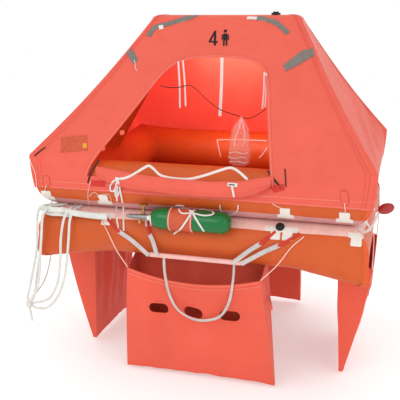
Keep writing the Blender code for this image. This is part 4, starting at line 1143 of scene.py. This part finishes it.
# %% Knot, tail and strands
TAIL_DIRECTION = Vector((0.14, -0.05, -1.0)).normalized()
TAIL_LENGTH = 0.085
knot_profile = []
for turn in evenly(-math.pi / 2, math.pi / 2, 16):
    bulge = 0.94 * (1 + 0.06 * math.sin(4 * turn))
    knot_profile.append((KNOT_RADIUS * math.sin(turn), KNOT_RADIUS * math.cos(turn) * bulge))
knot = turned("bridle_knot_body", knot_profile, KNOT_CENTRE, ALONG_Z, 28, rope_grey, "rope",
              ["bridle_knot"], 70)
tail_start = KNOT_RADIUS + GAP
tail_places = [KNOT_CENTRE + TAIL_DIRECTION * way for way in evenly(tail_start, tail_start + TAIL_LENGTH, 10)]
tail_rings = rope_rings(tail_places, STRAND_WIDE, STRAND_HIGH, (0, -1, 0))
tail = skin("bridle_tail_web", tail_rings, rope_grey, "rope", ["bridle_tail"])

for number, (direction, *route) in enumerate(BRIDLE, 1):
    way = Vector(direction).normalized()
    places = [Vector((x, y, at(height))) for x, y, height in route]
    places += [KNOT_CENTRE + way * (KNOT_RADIUS + 0.030), KNOT_CENTRE + way * (KNOT_RADIUS + GAP)]
    places = smooth_route(places, 6)
    facing = (-1, -0.3, 0.1) if number == len(BRIDLE) else (0.2, -1, 0.15)
    rings = rope_rings(places, STRAND_WIDE, STRAND_HIGH, facing)
    strand = skin(f"bridle_web_{number}", rings, rope_grey, "rope", [f"bridle_strand_{number}"])

# %% [markdown]
# ## Float, lamp and relief valve
# Small moulded parts: an oval float on its strap at the front right corner, a lamp on the ridge, and a
# black relief valve on the lower tube.

# %% Float
FLOAT_CENTRE = Vector((1.020, -0.700, at(0.375)))
FLOAT_HALF = (0.043, 0.020, 0.029)
FLOAT_TURN = Matrix.Rotation(math.radians(-22), 3, "Y")
FLOAT_STRAP_WIDE, FLOAT_STRAP_FACING = 0.014, (0.25, -1, 0.3)
rings = []
for turn in evenly(-math.pi / 2, math.pi / 2, 24):
    along, wide = math.sin(turn * 0.985), math.cos(turn * 0.985)
    half_x, half_y, half_z = FLOAT_HALF
    rings.append([FLOAT_CENTRE + FLOAT_TURN @ Vector((half_x * along, half_y * wide * c, half_z * wide * s))
                  for c, s in around(36)])
skin("oval_float", rings, float_red, "float_plastic", ["line_float"], 50)
lying = TUBE_RADIUS + 0.003 + 0.7 * WEB_THICKNESS
route = [(HALF_X + lying * math.cos(turn), TUBE_RADIUS + lying * math.sin(turn))
         for turn in map(math.radians, (59, 53, 47))]
route += [(0.936, 0.250), (0.962, 0.290), (0.978, 0.335), (0.992, 0.362)]
places = smooth_route([(x, FLOAT_CENTRE.y, at(h)) for x, h in route], 6)
strap("float_web", places, FLOAT_STRAP_WIDE, WEB_THICKNESS, FLOAT_STRAP_FACING, web_white)

# %% Lamp and relief valve
LAMP_PLACE = (0.30, RIDGE_Y, at(RIDGE_HEIGHT) + GAP)
LAMP = ((0.0, 0.0), (0.0, 0.028), (0.008, 0.028), (0.010, 0.026), (0.011, 0.019), (0.016, 0.0175),
        (0.017, 0.0175), (0.018, 0.0))
LENS_FOOT, LENS_RISE, LENS_RADIUS = 0.0165, 0.017, 0.0145
lens = [(LENS_FOOT, 0.0)]
for turn in evenly(0, math.pi / 2, 8):
    lens.append((LENS_FOOT + LENS_RISE * math.sin(turn), LENS_RADIUS * math.cos(turn)))
turned("lamp_base", LAMP, LAMP_PLACE, ALONG_Z, 36, black_rubber, "black_plastic", ["canopy_lamp"])
turned("lamp_lens", lens, LAMP_PLACE, ALONG_Z, 36, lens_clear, "black_plastic")
VALVE_ANGLE = 3.5 * STEP
KNOB = ((0.0, 0.0), (0.0, 0.024), (0.008, 0.024), (0.010, 0.022), (0.012, 0.0215), (0.0185, 0.0180),
        (0.020, 0.015), (0.0205, 0.0))
reach = (TUBE_RADIUS + 0.003) * math.cos(STEP / 2) + 2 * GAP
valve_place = (0.475, -HALF_Y - reach * math.cos(VALVE_ANGLE), LOWER[0] + reach * math.sin(VALVE_ANGLE))
valve_turn = Matrix.Rotation(math.pi / 2 - VALVE_ANGLE, 3, "X")
turned("relief_valve_cap", KNOB, valve_place, valve_turn, 40, black_rubber, "black_plastic", ["relief_valve"])

# %% [markdown]
# ## Trim on the cloth
# Tapes, labels, ties and tabs are sewn or tied to the cloth. Each is laid along a short route of pixels
# read from the photograph: a sight line through each pixel meets the cloth that carries the trim, and the
# trim then lies on that place, a millimetre proud.

# %% Laying trim
def tree_of(*names):
    """Search trees over finished pieces."""
    meshes = [bpy.data.objects[name].data for name in names]
    return [BVHTree.FromPolygons([v.co for v in mesh.vertices], [tuple(p.vertices) for p in mesh.polygons])
            for mesh in meshes]


def at_depth(u, v, y):
    """Where a sight line crosses an upright plane that faces the entrance side."""
    ahead = sight(u, v)
    return eye.location + ahead * ((y - eye.location.y) / ahead.y)


def first_hit(u, v, trees, depth):
    """The nearest place on some surfaces along a sight line, or the place on an upright plane."""
    ahead = sight(u, v)
    found = [tree.ray_cast(eye.location, ahead)[:2] for tree in trees]
    found = [pair for pair in found if pair[0] is not None]
    if not found:
        return at_depth(u, v, depth), Vector((0, -1, 0))
    place, normal = min(found, key=lambda pair: (pair[0] - eye.location).length)
    return place, normal if normal.dot(ahead) < 0 else -normal


def evened(vectors, rounds=2):
    """Takes the jolts out of a row of points or directions, its ends kept."""
    for _ in range(rounds):
        middle = [(a + 2 * b + c) / 4 for a, b, c in zip(vectors, vectors[1:], vectors[2:])]
        vectors = [vectors[0], *middle, vectors[-1]]
    return vectors


def laid_route(pixels, trees, depth, lift, steps=6):
    """Places and normals along a smooth route of pixels."""
    spots = smooth_route([(u, v, 0) for u, v in pixels], steps)
    found = [first_hit(p.x, p.y, trees, depth) for p in spots]
    places = evened([place + normal * lift for place, normal in found])
    return places, [n.normalized() for n in evened([normal for _, normal in found], 4)]


def ribbons(name, rows, trees, finish, depth=-0.83, lift=0.0016, thickness=0.0013):
    """Flat tapes laid on some surfaces. Each row is a width and a route of pixels."""
    made = []
    for number, (width, *pixels) in enumerate(rows, 1):
        places, normals = laid_route(pixels, trees, depth, lift)
        made.append(strap(f"{name}_{number}", places, width, thickness, normals, finish, None))
    return made


def thin_cords(name, rows, trees, finish, depth=-0.83, steps=6):
    """Thin sewn-in lines. Each row is a radius and a route of pixels."""
    made = []
    for number, (radius, *pixels) in enumerate(rows, 1):
        places, normals = laid_route(pixels, trees, depth, radius + 0.0006, steps)
        rings = rope_rings(places, 2 * radius, 2 * radius, normals[0], 8)
        made.append(skin(f"{name}_{number}", rings, finish, None, (), 70))
    return made


def sewn_patches(name, rows, trees, finish, depth=-0.83, lift=0.0022):
    """Patches sewn on some surfaces. Each row is four corners, as pixels in order round the patch."""
    made = []
    shares = evenly(0, 1, 12)
    for number, corners in enumerate(rows, 1):
        a, b, c, d = (Vector(p) for p in corners)
        places, normals = [], []
        for s in shares:
            spots = [(a * (1 - t) + b * t) * (1 - s) + (d * (1 - t) + c * t) * s for t in shares]
            found = [first_hit(p.x, p.y, trees, depth) for p in spots]
            places.append([place + normal * lift for place, normal in found])
            normals.append([normal for _, normal in found])
        made.append(piece(f"{name}_{number}", *skin_sheet(places, normals, 0.0014), finish, None))
    return made


ALL_CLOTH = [canopy_trees[name] for name in SIDE_NAMES]
FRONT_CLOTH = ALL_CLOTH[:1]
FLAP_CLOTH = tree_of("entrance_flap")
FRONT_SURFACES = FRONT_CLOTH + FLAP_CLOTH + tree_of("upper_tube_skin", "lower_tube_skin")

# %% [markdown]
# ## Reflective tapes, label and number
# Grey reflective tape is sewn over the canopy's shoulders so that a search light finds the raft. A cloth
# label and a plain number say how many people it holds; the number is made of sewn strokes.

# %% Reflective tapes
TOP_TAPES = (
    (0.034, (148.5, 36.5), (155, 27.5), (170, 23.5), (185, 19), (197, 15.4)),
    (0.032, (257, 18), (265, 19.6), (273.5, 21.6), (281, 26.6), (288, 33.6)),
)
SIDE_TAPES = (
    ((126, 53.6), (131.5, 48), (138.5, 59.6), (133.5, 64.3)),
    ((283, 65.6), (286, 71.5), (303.6, 62), (301.6, 51)),
    ((301.8, 51), (304, 61.5), (315, 55.5), (313, 48)),
)
WHITE_TAPE = ((0.020, (247, 18), (252, 18), (257, 18.4)),)
WHITE_BLOCK = (((158.5, 26), (163, 25), (163.8, 29), (159.5, 30)),)
TAPE_CORD = ((0.0022, (134, 60), (135.2, 64), (135.5, 68), (137, 71)),)
TOP_DEPTH, SHOULDER_DEPTH = -0.10, -0.3
tapes = ribbons("tape_top", TOP_TAPES, ALL_CLOTH, reflective_grey, TOP_DEPTH)
tapes += sewn_patches("tape_side", SIDE_TAPES, ALL_CLOTH, reflective_grey, SHOULDER_DEPTH)
join_pieces("reflective_tapes", tapes)
pale = ribbons("tape_white", WHITE_TAPE, ALL_CLOTH, web_white, TOP_DEPTH)
pale += sewn_patches("tape_block", WHITE_BLOCK, ALL_CLOTH, web_white, TOP_DEPTH, 0.0036)
pale += thin_cords("tape_cord", TAPE_CORD, ALL_CLOTH, web_white, SHOULDER_DEPTH)
join_pieces("pale_shoulder_tapes", pale)

# %% Number, figure and label
NUMBER_STROKES = (
    (0.012, (215.2, 31.5), (212.4, 36.5), (209.6, 41.4)),
    (0.012, (208.8, 41.6), (213, 41.9), (217.6, 42.1)),
    (0.013, (215.2, 31), (215.1, 38), (214.9, 45.6)),
)
FIGURE_STROKES = (
    (0.018, (225.4, 29.8), (225.4, 31.2), (225.4, 32.6)),
    (0.026, (225.4, 33.8), (225.3, 37), (225.2, 40.4)),
    (0.007, (222.5, 34.6), (222.3, 37), (222.2, 39.8)),
    (0.007, (228.3, 34.8), (228.3, 37), (228.4, 40)),
    (0.010, (224, 40), (223.9, 43), (223.8, 45.8)),
    (0.010, (226.6, 40), (226.6, 43), (226.6, 45.8)),
)
LABEL = (((61, 137.5), (87, 135), (88, 150.5), (60.5, 152.5)),)
LABEL_DISC = (((83, 143.6), (87, 143.6), (87, 148.2), (83, 148.2)),)
strokes = ribbons("stroke", NUMBER_STROKES + FIGURE_STROKES, FRONT_CLOTH, ink_black)
join_pieces("capacity_number", strokes)
join_pieces("cloth_label", sewn_patches("label", LABEL, ALL_CLOTH, label_brown, -0.7))
disc = sewn_patches("disc", LABEL_DISC, ALL_CLOTH, label_yellow, -0.7, 0.0040)
join_pieces("label_disc", disc)

# %% [markdown]
# ## Entrance
# The opening's edge is bound with a folded strip. Tapes hang inside it to tie the flap up, a thin line
# carries a clear rain-water bag, and zips at both sides close the flap.

# %% Binding of the opening
def on_front(x, height):
    """A point of the front panel, found by looking straight at it."""
    start = Vector((x, -3.0, at(height)))
    place, normal, _, _ = canopy_trees["front"].ray_cast(start, Vector((0, 1, 0)))
    return (place, normal if normal.y < 0 else -normal) if place else None


edge_found = [on_front(p.x * 1.012, p.z + 0.002) for p in DOOR_EDGE]
edge_found = [pair for pair in edge_found if pair]
edge_places = [place + normal * 0.0012 for place, normal in edge_found]
edge_normals = [normal for _, normal in edge_found]
strap("entrance_binding", edge_places, 0.020, 0.0022, edge_normals, canopy_cloth, "canopy_fabric")

# %% Ties and line inside
TIES = (
    (0.010, (178.4, 61.5), (179.7, 84.75), (180, 108)),
    (0.010, (183, 60.5), (184.85, 83.25), (185.7, 106)),
    (0.018, (222, 57.5), (221.5, 86.75), (220, 116)),
    (0.010, (264.5, 72), (264, 90.25), (262.5, 108.5)),
    (0.008, (266.4, 73), (266.3, 90), (265.2, 107)),
)
INNER_LINE = (
    (0.0026, (160.5, 85.7), (170, 87.6), (181, 87), (190.4, 85), (199, 92), (208, 100.4), (221, 110),
     (241, 116.5), (248, 118.5), (257, 115), (266.5, 108.5)),
)
TIE_DEPTH, INNER_LINE_DEPTH = -0.385, -0.42
join_pieces("flap_ties", ribbons("tie", TIES, [], web_white, TIE_DEPTH))
join_pieces("water_bag_line", thin_cords("line", INNER_LINE, [], zip_black, INNER_LINE_DEPTH))

# %% Rain-water bag
# Each pair is a pixel row and the bag's half width there, in pixels.
WATER_BAG = ((116, 0.8), (119, 2.2), (123, 5.5), (129, 8.6), (138, 10.2), (148, 11.0), (157, 11.2),
             (163, 10.2), (166, 6.0))
WATER_BAG_TOP, WATER_BAG_LEAN, WATER_BAG_DEPTH, WATER_BAG_FLATNESS = (241.5, 116), 0.045, -0.44, 0.30
CREASE_DEPTH = -0.478
FILM_CREASES = (
    (0.0045, (229, 153), (236, 152), (243, 154), (248, 152.5)),
    (0.0045, (228.5, 157), (235, 158.5), (242, 157.4), (247, 158.6)),
    (0.0045, (230, 162), (237, 161.4), (244, 163), (247.5, 162)),
    (0.0035, (240.5, 119), (239.5, 127), (236, 136), (234, 146)),
    (0.0035, (241.5, 119), (244, 128), (245, 138), (243, 147)),
)
rings = []
for v, half in WATER_BAG:
    centre_u = WATER_BAG_TOP[0] - WATER_BAG_LEAN * (v - WATER_BAG_TOP[1])
    left, right = (at_depth(centre_u + side * half, v, WATER_BAG_DEPTH) for side in (-1, 1))
    middle, reach = (left + right) / 2, (right - left).length / 2
    ring = []
    for c, s in around(40):
        wrinkled = reach * (1 + 0.10 * noise.noise(Vector((c * 2, s * 2, v * 0.13))))
        ring.append(middle + Vector((wrinkled * c, WATER_BAG_FLATNESS * wrinkled * s, 0)))
    rings.append(ring)
water_bag = skin("water_bag", rings, clear_film, None, (), 80)
join_pieces("water_bag_creases", ribbons("crease", FILM_CREASES, [], web_white, CREASE_DEPTH))

# %% Pocket seams on the inner wall
POCKET_SEAMS = (
    (0.010, (217, 140), (235, 140), (252, 140.5), (267, 141)),
    (0.008, (217, 140), (219, 149), (221, 157)),
    (0.008, (267, 148), (263, 154), (259, 158)),
)
back_wall = [canopy_trees["rear"], *tree_of("upper_tube_skin")]
pocket = ribbons("pocket", POCKET_SEAMS, back_wall, web_pink, 0.5, 0.0040)
join_pieces("inner_pocket_seams", pocket)

# %% Zips beside the flap
FLAP_ZIPS = (
    (0.011, (99, 160), (96, 165), (92, 171), (89.5, 177), (88, 183)),
    (0.011, (268, 171), (272, 177), (277, 183), (281, 188)),
    (0.007, (285, 169), (285.6, 178), (286, 187)),
)
EAVE_ZIP = ((0.009, (34.5, 156), (39, 152), (45.4, 147.3)),)
ZIP_PATCHES = (
    ((91, 180), (105, 181), (105.5, 187), (90, 186)),
    ((270, 186), (284, 184), (285, 190), (274, 193)),
)
zips = ribbons("zip", FLAP_ZIPS, FRONT_SURFACES, zip_black)
zips += ribbons("zip_eave", EAVE_ZIP, ALL_CLOTH, zip_black)
join_pieces("flap_zips", zips)
patches = sewn_patches("zip_patch", ZIP_PATCHES, FRONT_SURFACES, sleeve_red)
join_pieces("zip_patches", patches)

# %% White tapes and bows on the flap
BOW_WIDTH, STRAP_BOW_WIDTH = 0.010, 0.0105
FLAP_BOW = (
    (118, 178.5),
    ((111.5, 183), (110.5, 190), (114.5, 190.5), (118, 180)),
    ((115.5, 189), (116.5, 197), (120, 190), (118.4, 180)),
    ((121, 192), (123.5, 208), (124, 231)),
    ((117, 200), (116.5, 214), (118.5, 229)),
)
FLAP_TAPE = (
    (0.014, (118, 179), (124.5, 178.2), (131.5, 175.6), (146, 166.6), (150, 166), (155, 170), (161, 175.4),
     (175, 178.4), (190.4, 178.8), (207, 174.6), (224, 169), (232, 167.8), (240, 172.5), (248, 180)),
)
TOGGLE = (
    (0.021, (227.5, 184.6), (232.5, 185), (237.5, 185.6)),
    (0.011, (232, 186), (233, 191), (234, 196.5)),
)
TOGGLE_LOOP = (
    (0.007, (220, 204.5), (221, 210.5), (225, 213.5), (230, 214.2), (235, 212.6), (238, 209), (238, 204.5)),
)
TOGGLE_SLOT = ((0.006, (229, 185), (232, 185.2), (235, 185.5)),)


def bow(name, centre, routes, width, trees, depth):
    """A tied bow: each loop and tail is a short route of pixels from the knot."""
    u, v = centre
    knot = [(width * 1.3, (u - 2, v - 0.6), centre, (u + 2, v + 0.6))]
    made = ribbons(f"{name}_knot", knot, trees, web_white, depth, 0.007, 0.006)
    for number, route in enumerate(routes):
        lift = 0.003 + 0.0015 * (number % 3)
        made += ribbons(f"{name}_{number}", [(width, centre, *route)], trees, web_white, depth, lift)
    return made


whites = bow("flap_bow", FLAP_BOW[0], FLAP_BOW[1:], BOW_WIDTH, FRONT_SURFACES, -0.86)
whites += ribbons("flap_tape", FLAP_TAPE, FLAP_CLOTH, web_white, -0.835, 0.0025)
whites += ribbons("toggle", TOGGLE, FRONT_SURFACES, web_white, -0.86, 0.004)
whites += ribbons("toggle_loop", TOGGLE_LOOP, FRONT_SURFACES, web_white, -0.84, 0.004)
join_pieces("flap_white_tapes", whites)
slot = ribbons("slot", TOGGLE_SLOT, FRONT_SURFACES, black_rubber, -0.86, 0.0062)
join_pieces("toggle_slot", slot)

# %% Hem tabs, with the cords that tie the hem down
TABS = (
    ((43.6, 176), (49.4, 176.3), (49.7, 186.4), (43.9, 186)),
    ((340.7, 191), (347.6, 191.4), (348.7, 204.6), (341.6, 204.6)),
    ((120, 131), (124, 130.4), (124.4, 134.4), (120.4, 135)),
    ((101, 146.6), (104.6, 145.6), (105.2, 150), (101.6, 151)),
)
TAB_EDGE_RADIUS = 0.0011
EAVE_CORD = ((0.0024, (29.4, 156.5), (32, 165), (35.7, 174), (37, 188)),)
HEM_CORDS = (
    (0.0026, (46.4, 185), (45.4, 189), (44, 194), (44.4, 197)),
    (0.0026, (344.4, 203), (345.2, 209), (346, 216)),
    (0.0020, (91, 181), (89, 188), (88, 194.5), (88.6, 201), (89.7, 207.5)),
    (0.0020, (89.7, 196), (92, 193.2), (95, 192), (97.4, 194), (98.7, 197.4)),
    (0.0020, (100.6, 194.5), (105, 194), (109.6, 194.5), (111.4, 201), (112, 208)),
    (0.0022, (272.7, 203.6), (277, 206), (281, 207.7)),
)
join_pieces("hem_tabs", sewn_patches("tab", TABS, ALL_CLOTH, canopy_cloth, -0.8))
tab_edges = [(TAB_EDGE_RADIUS, *corners, corners[0]) for corners in TABS]
join_pieces("hem_tab_edges", thin_cords("tab_edge", tab_edges, ALL_CLOTH, label_brown, -0.8, 5))
cords = thin_cords("hem_cord", HEM_CORDS, FRONT_SURFACES, web_pink)
cords += thin_cords("eave_cord", EAVE_CORD, ALL_CLOTH, web_pink, -0.82)
join_pieces("hem_cords", cords)

# %% [markdown]
# ## Trim of the cylinder and the bridle
# The cylinder's strap has pale piping and is tied with a bow. Broad folds of webbing bulge out of the
# groove where the bridle's strands leave it.

# %% Cylinder trim
STRAP_BOW = (
    (192, 212.5),
    ((186, 208.5), (179, 208.5), (181.5, 213.4), (191, 213.4)),
    ((200, 209), (210, 210.5), (213.5, 214.6), (204, 216), (193, 213.6)),
    ((188, 219), (181, 228), (174, 234)),
    ((196, 219), (200, 225), (204, 231)),
)
STRAP_BEAD = ((0.014, (176, 205.5), (180, 205.2), (184.5, 205.8)),)
OUTLET_TAG = (((144.6, 216.5), (151, 215.5), (152, 226), (145.6, 226.6)),)
FITTING_PIXEL = (139.6, 220.5)
FITTING = ((-0.017, 0.0), (-0.017, 0.007), (-0.010, 0.0105), (0.004, 0.0105), (0.006, 0.007), (0.012, 0.006),
           (0.012, 0.0))
PIPING_PLACES, PIPING_THICK = (-0.098, 0.028), 0.0042
CYLINDER_SURFACES = tree_of("cylinder_body", "cylinder_band", "upper_tube_skin", "lower_tube_skin")
CYLINDER_SURFACES += FLAP_CLOTH
whites = bow("strap_bow", STRAP_BOW[0], STRAP_BOW[1:], STRAP_BOW_WIDTH, CYLINDER_SURFACES, -0.93)
whites += ribbons("bead", STRAP_BEAD, CYLINDER_SURFACES, web_white, -0.92, 0.004)
for along in PIPING_PLACES:
    r = CYLINDER_RADIUS + PIPING_THICK
    line = [CYLINDER_CENTRE + Vector((along, r * c, r * s)) for c, s in around(48)]
    rings = rope_rings(line, PIPING_THICK, PIPING_THICK, (1, 0, 0), 8)
    whites.append(skin(f"strap_piping_{along}", rings, web_white, None, (), 70, closed_path=True))
join_pieces("cylinder_strap_bow", whites)
tag = sewn_patches("tag", OUTLET_TAG, CYLINDER_SURFACES, patch_white, -0.9, 0.004)
join_pieces("outlet_tag", tag)
fitting_place = at_depth(*FITTING_PIXEL, CYLINDER_CENTRE.y - 0.012)
turned("outlet_fitting", FITTING, fitting_place, ALONG_Z, 28, valve_brass, "brass")

# %% Folds of webbing at the groove
BROAD_FOLDS = (
    (0.034, (41, 207.5), (46, 208.6), (52, 209.4), (58, 210), (64, 209.6)),
    (0.036, (64.5, 211), (74, 213), (85, 214.6), (96, 216), (107, 216.6)),
)
NARROW_FOLD = ((0.020, (44, 212), (52, 214.2), (60, 214.4), (70, 215.8)),)
folds = ribbons("broad_fold", BROAD_FOLDS, [], rope_grey, -0.822, 0.0, 0.007)
folds += ribbons("narrow_fold", NARROW_FOLD, [], rope_grey, -0.816, 0.0, 0.006)
join_pieces("groove_folds", folds)

# %% Bag seams
GUSSET = ((0.012, (257, 272), (262, 276), (266, 284), (270, 298), (272, 310)),)
SEAM_DEPTH = 0.972


def bag_row(bag, end, count, depth, lift):
    """A row of places along a bag's outer wall at a depth."""
    walls = [bag_wall(bag, u, True, depth) for u in evenly(-end, end, count)]
    return [bag_place(bag, a, o + lift, h) for a, o, h in walls]


seams = ribbons("gusset", GUSSET, tree_of("bag_front_shell"), bag_cloth, -0.85)
for bag in BAGS:
    line = bag_row(bag, 0.985, 48, SEAM_DEPTH, 0.0008)
    normal = side_frame(SIDE_NAMES.index(bag[0]))[2]
    seams.append(strap(f"foot_seam_{bag[0]}", line, 0.016, 0.0022, normal, bag_cloth, "bag_fabric"))
join_pieces("bag_seams", seams)

# %% [markdown]
# ## Stitches
# Thread shows along hems, hips and tapes. One Geometry Nodes tree turns a line into a row of short
# stitches: it walks the line at an even pitch and sets a small bar of thread at each step, turned along
# the line. Its named inputs are the pitch, the stitch's length and the thread's thickness.

# %% Stitch tree
STITCH_SIZES = (("Pitch", 0.010), ("Stitch length", 0.006), ("Thread", 0.0011))
STITCH_NODES = {
    "given": "NodeGroupInput", "line": "GeometryNodeMeshToCurve", "walk": "GeometryNodeCurveToPoints",
    "size": "ShaderNodeCombineXYZ", "thread": "GeometryNodeMeshCube", "sew": "GeometryNodeInstanceOnPoints",
    "real": "GeometryNodeRealizeInstances", "paint": "GeometryNodeSetMaterial", "result": "NodeGroupOutput",
}
STITCH_LINKS = (
    ("given", "Geometry", "line", "Mesh"), ("line", "Curve", "walk", "Curve"),
    ("given", "Pitch", "walk", "Length"), ("given", "Thread", "size", "X"), ("given", "Thread", "size", "Y"),
    ("given", "Stitch length", "size", "Z"), ("size", "Vector", "thread", "Size"),
    ("thread", "Mesh", "sew", "Instance"), ("walk", "Points", "sew", "Points"),
    ("walk", "Rotation", "sew", "Rotation"), ("sew", "Instances", "real", "Geometry"),
    ("real", "Geometry", "paint", "Geometry"), ("given", "Material", "paint", "Material"),
    ("paint", "Geometry", "result", "Geometry"),
)
STITCHES = bpy.data.node_groups.new("row_of_stitches", "GeometryNodeTree")
entries = STITCHES.interface
entries.new_socket("Geometry", in_out="INPUT", socket_type="NodeSocketGeometry")
for label, value in STITCH_SIZES:
    entries.new_socket(label, in_out="INPUT", socket_type="NodeSocketFloat").default_value = value
entries.new_socket("Material", in_out="INPUT", socket_type="NodeSocketMaterial")
entries.new_socket("Geometry", in_out="OUTPUT", socket_type="NodeSocketGeometry")
nodes = {key: STITCHES.nodes.new(kind) for key, kind in STITCH_NODES.items()}
nodes["walk"].mode = "LENGTH"
for source, output, target, entry in STITCH_LINKS:
    STITCHES.links.new(nodes[source].outputs[output], nodes[target].inputs[entry])


def stitched(name, lines, thread):
    """Rows of stitches along some lines of points."""
    points, edges = [], []
    for line in lines:
        edges += [(len(points) + k, len(points) + k + 1) for k in range(len(line) - 1)]
        points += [tuple(p) for p in line]
    mesh = bpy.data.meshes.new(name)
    mesh.from_pydata(points, edges, [])
    obj = placed(name, mesh)
    sewing = obj.modifiers.new("stitches", "NODES")
    sewing.node_group = STITCHES
    for item in STITCHES.interface.items_tree:
        if item.in_out == "INPUT" and item.name == "Material":
            sewing[item.identifier] = thread
    plain_mesh(obj)
    enlist(obj)
    print(name, "stitches", len(obj.data.polygons) // 6)


# %% Rows of stitches
HEM_ROWS, HIP_COLUMNS, MOUTH_DEPTHS = (1, 5), (2, 3, -4, -3), (0.012, 0.045)
hem_lines, hip_lines = [], []
for rows, normals in canopy_grids.values():
    hem_lines += [[p + n * 0.0006 for p, n in zip(rows[r], normals[r])] for r in HEM_ROWS]
    for c in HIP_COLUMNS:
        hip_lines.append([row[c] + line[c] * 0.0022 for row, line in zip(rows[2:], normals[2:])])
stitched("canopy_hem_stitches", hem_lines, web_pink)
stitched("canopy_hip_stitches", hip_lines, sleeve_red)
stitched("entrance_stitches", [[place + normal * 0.0026 for place, normal in edge_found]], web_pink)
bag_lines = [bag_row(bag, 0.98, 64, depth, 0.0030 - depth * 0.04) for bag in BAGS for depth in MOUTH_DEPTHS]
stitched("bag_stitches", bag_lines, web_pink)

# %% [markdown]
# ## Floor and light
# The photograph shows the raft lifted, with its bags hanging, so the pale studio floor is just below the
# bags' feet. Large soft lights and a pale world give the even light of a catalogue picture.

# %% Studio
FLOOR_Z = -0.80
FLOOR_CORNERS = ((-14, -10, FLOOR_Z), (14, -10, FLOOR_Z), (14, 14, FLOOR_Z), (-14, 14, FLOOR_Z))
floor_mesh = bpy.data.meshes.new("studio_floor")
floor_mesh.from_pydata(FLOOR_CORNERS, [], [(0, 1, 2, 3)])
studio_floor = placed("studio_floor", floor_mesh)
floor_mesh.materials.append(finish("studio_white", (224.61, 224.61, 224.61), 0.9, drift=0.0, glow=0.48))
studio_floor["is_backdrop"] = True

# Each row is the name, the place, the aim, the size in metres, the power in watts and the colour.
WHITE, WARM = (1, 1, 1), (1.0, 0.82, 0.76)
LIGHTS = (
    ("key_light", (-1.6, -4.6, 3.0), (0, 0, 0.4), 2.6, 40, WHITE),
    ("fill_light", (3.6, -3.4, 2.0), (0, 0, 0.4), 3.0, 20, WHITE),
    ("back_light", (0.5, 4.5, 3.2), (0, 0, 0.4), 3.0, 35, WHITE),
    ("inside_glow", (0.0, 0.02, 0.84), (0, 0.75, 0.50), 0.6, 5, WARM),
)
for name, place, aim, size, power, colour in LIGHTS:
    light = bpy.data.lights.new(name, "AREA")
    light.shape = "SQUARE"
    light.size = size
    light.energy = power
    light.color = colour
    lamp = placed(name, light)
    lamp.location = place
    lamp.rotation_euler = (Vector(aim) - Vector(place)).to_track_quat("-Z", "Y").to_euler()

world = bpy.data.worlds.new("pale_world")
bpy.context.scene.world = world
world.use_nodes = True
world.node_tree.nodes["Background"].inputs["Color"].default_value = (1.0, 1.0, 1.0, 1.0)
world.node_tree.nodes["Background"].inputs["Strength"].default_value = 1.0
bpy.context.scene.view_settings.view_transform = "Standard"

# %% Size of the visual box
low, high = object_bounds()
print("visual box", [round(v, 4) for v in (*low, *high)])
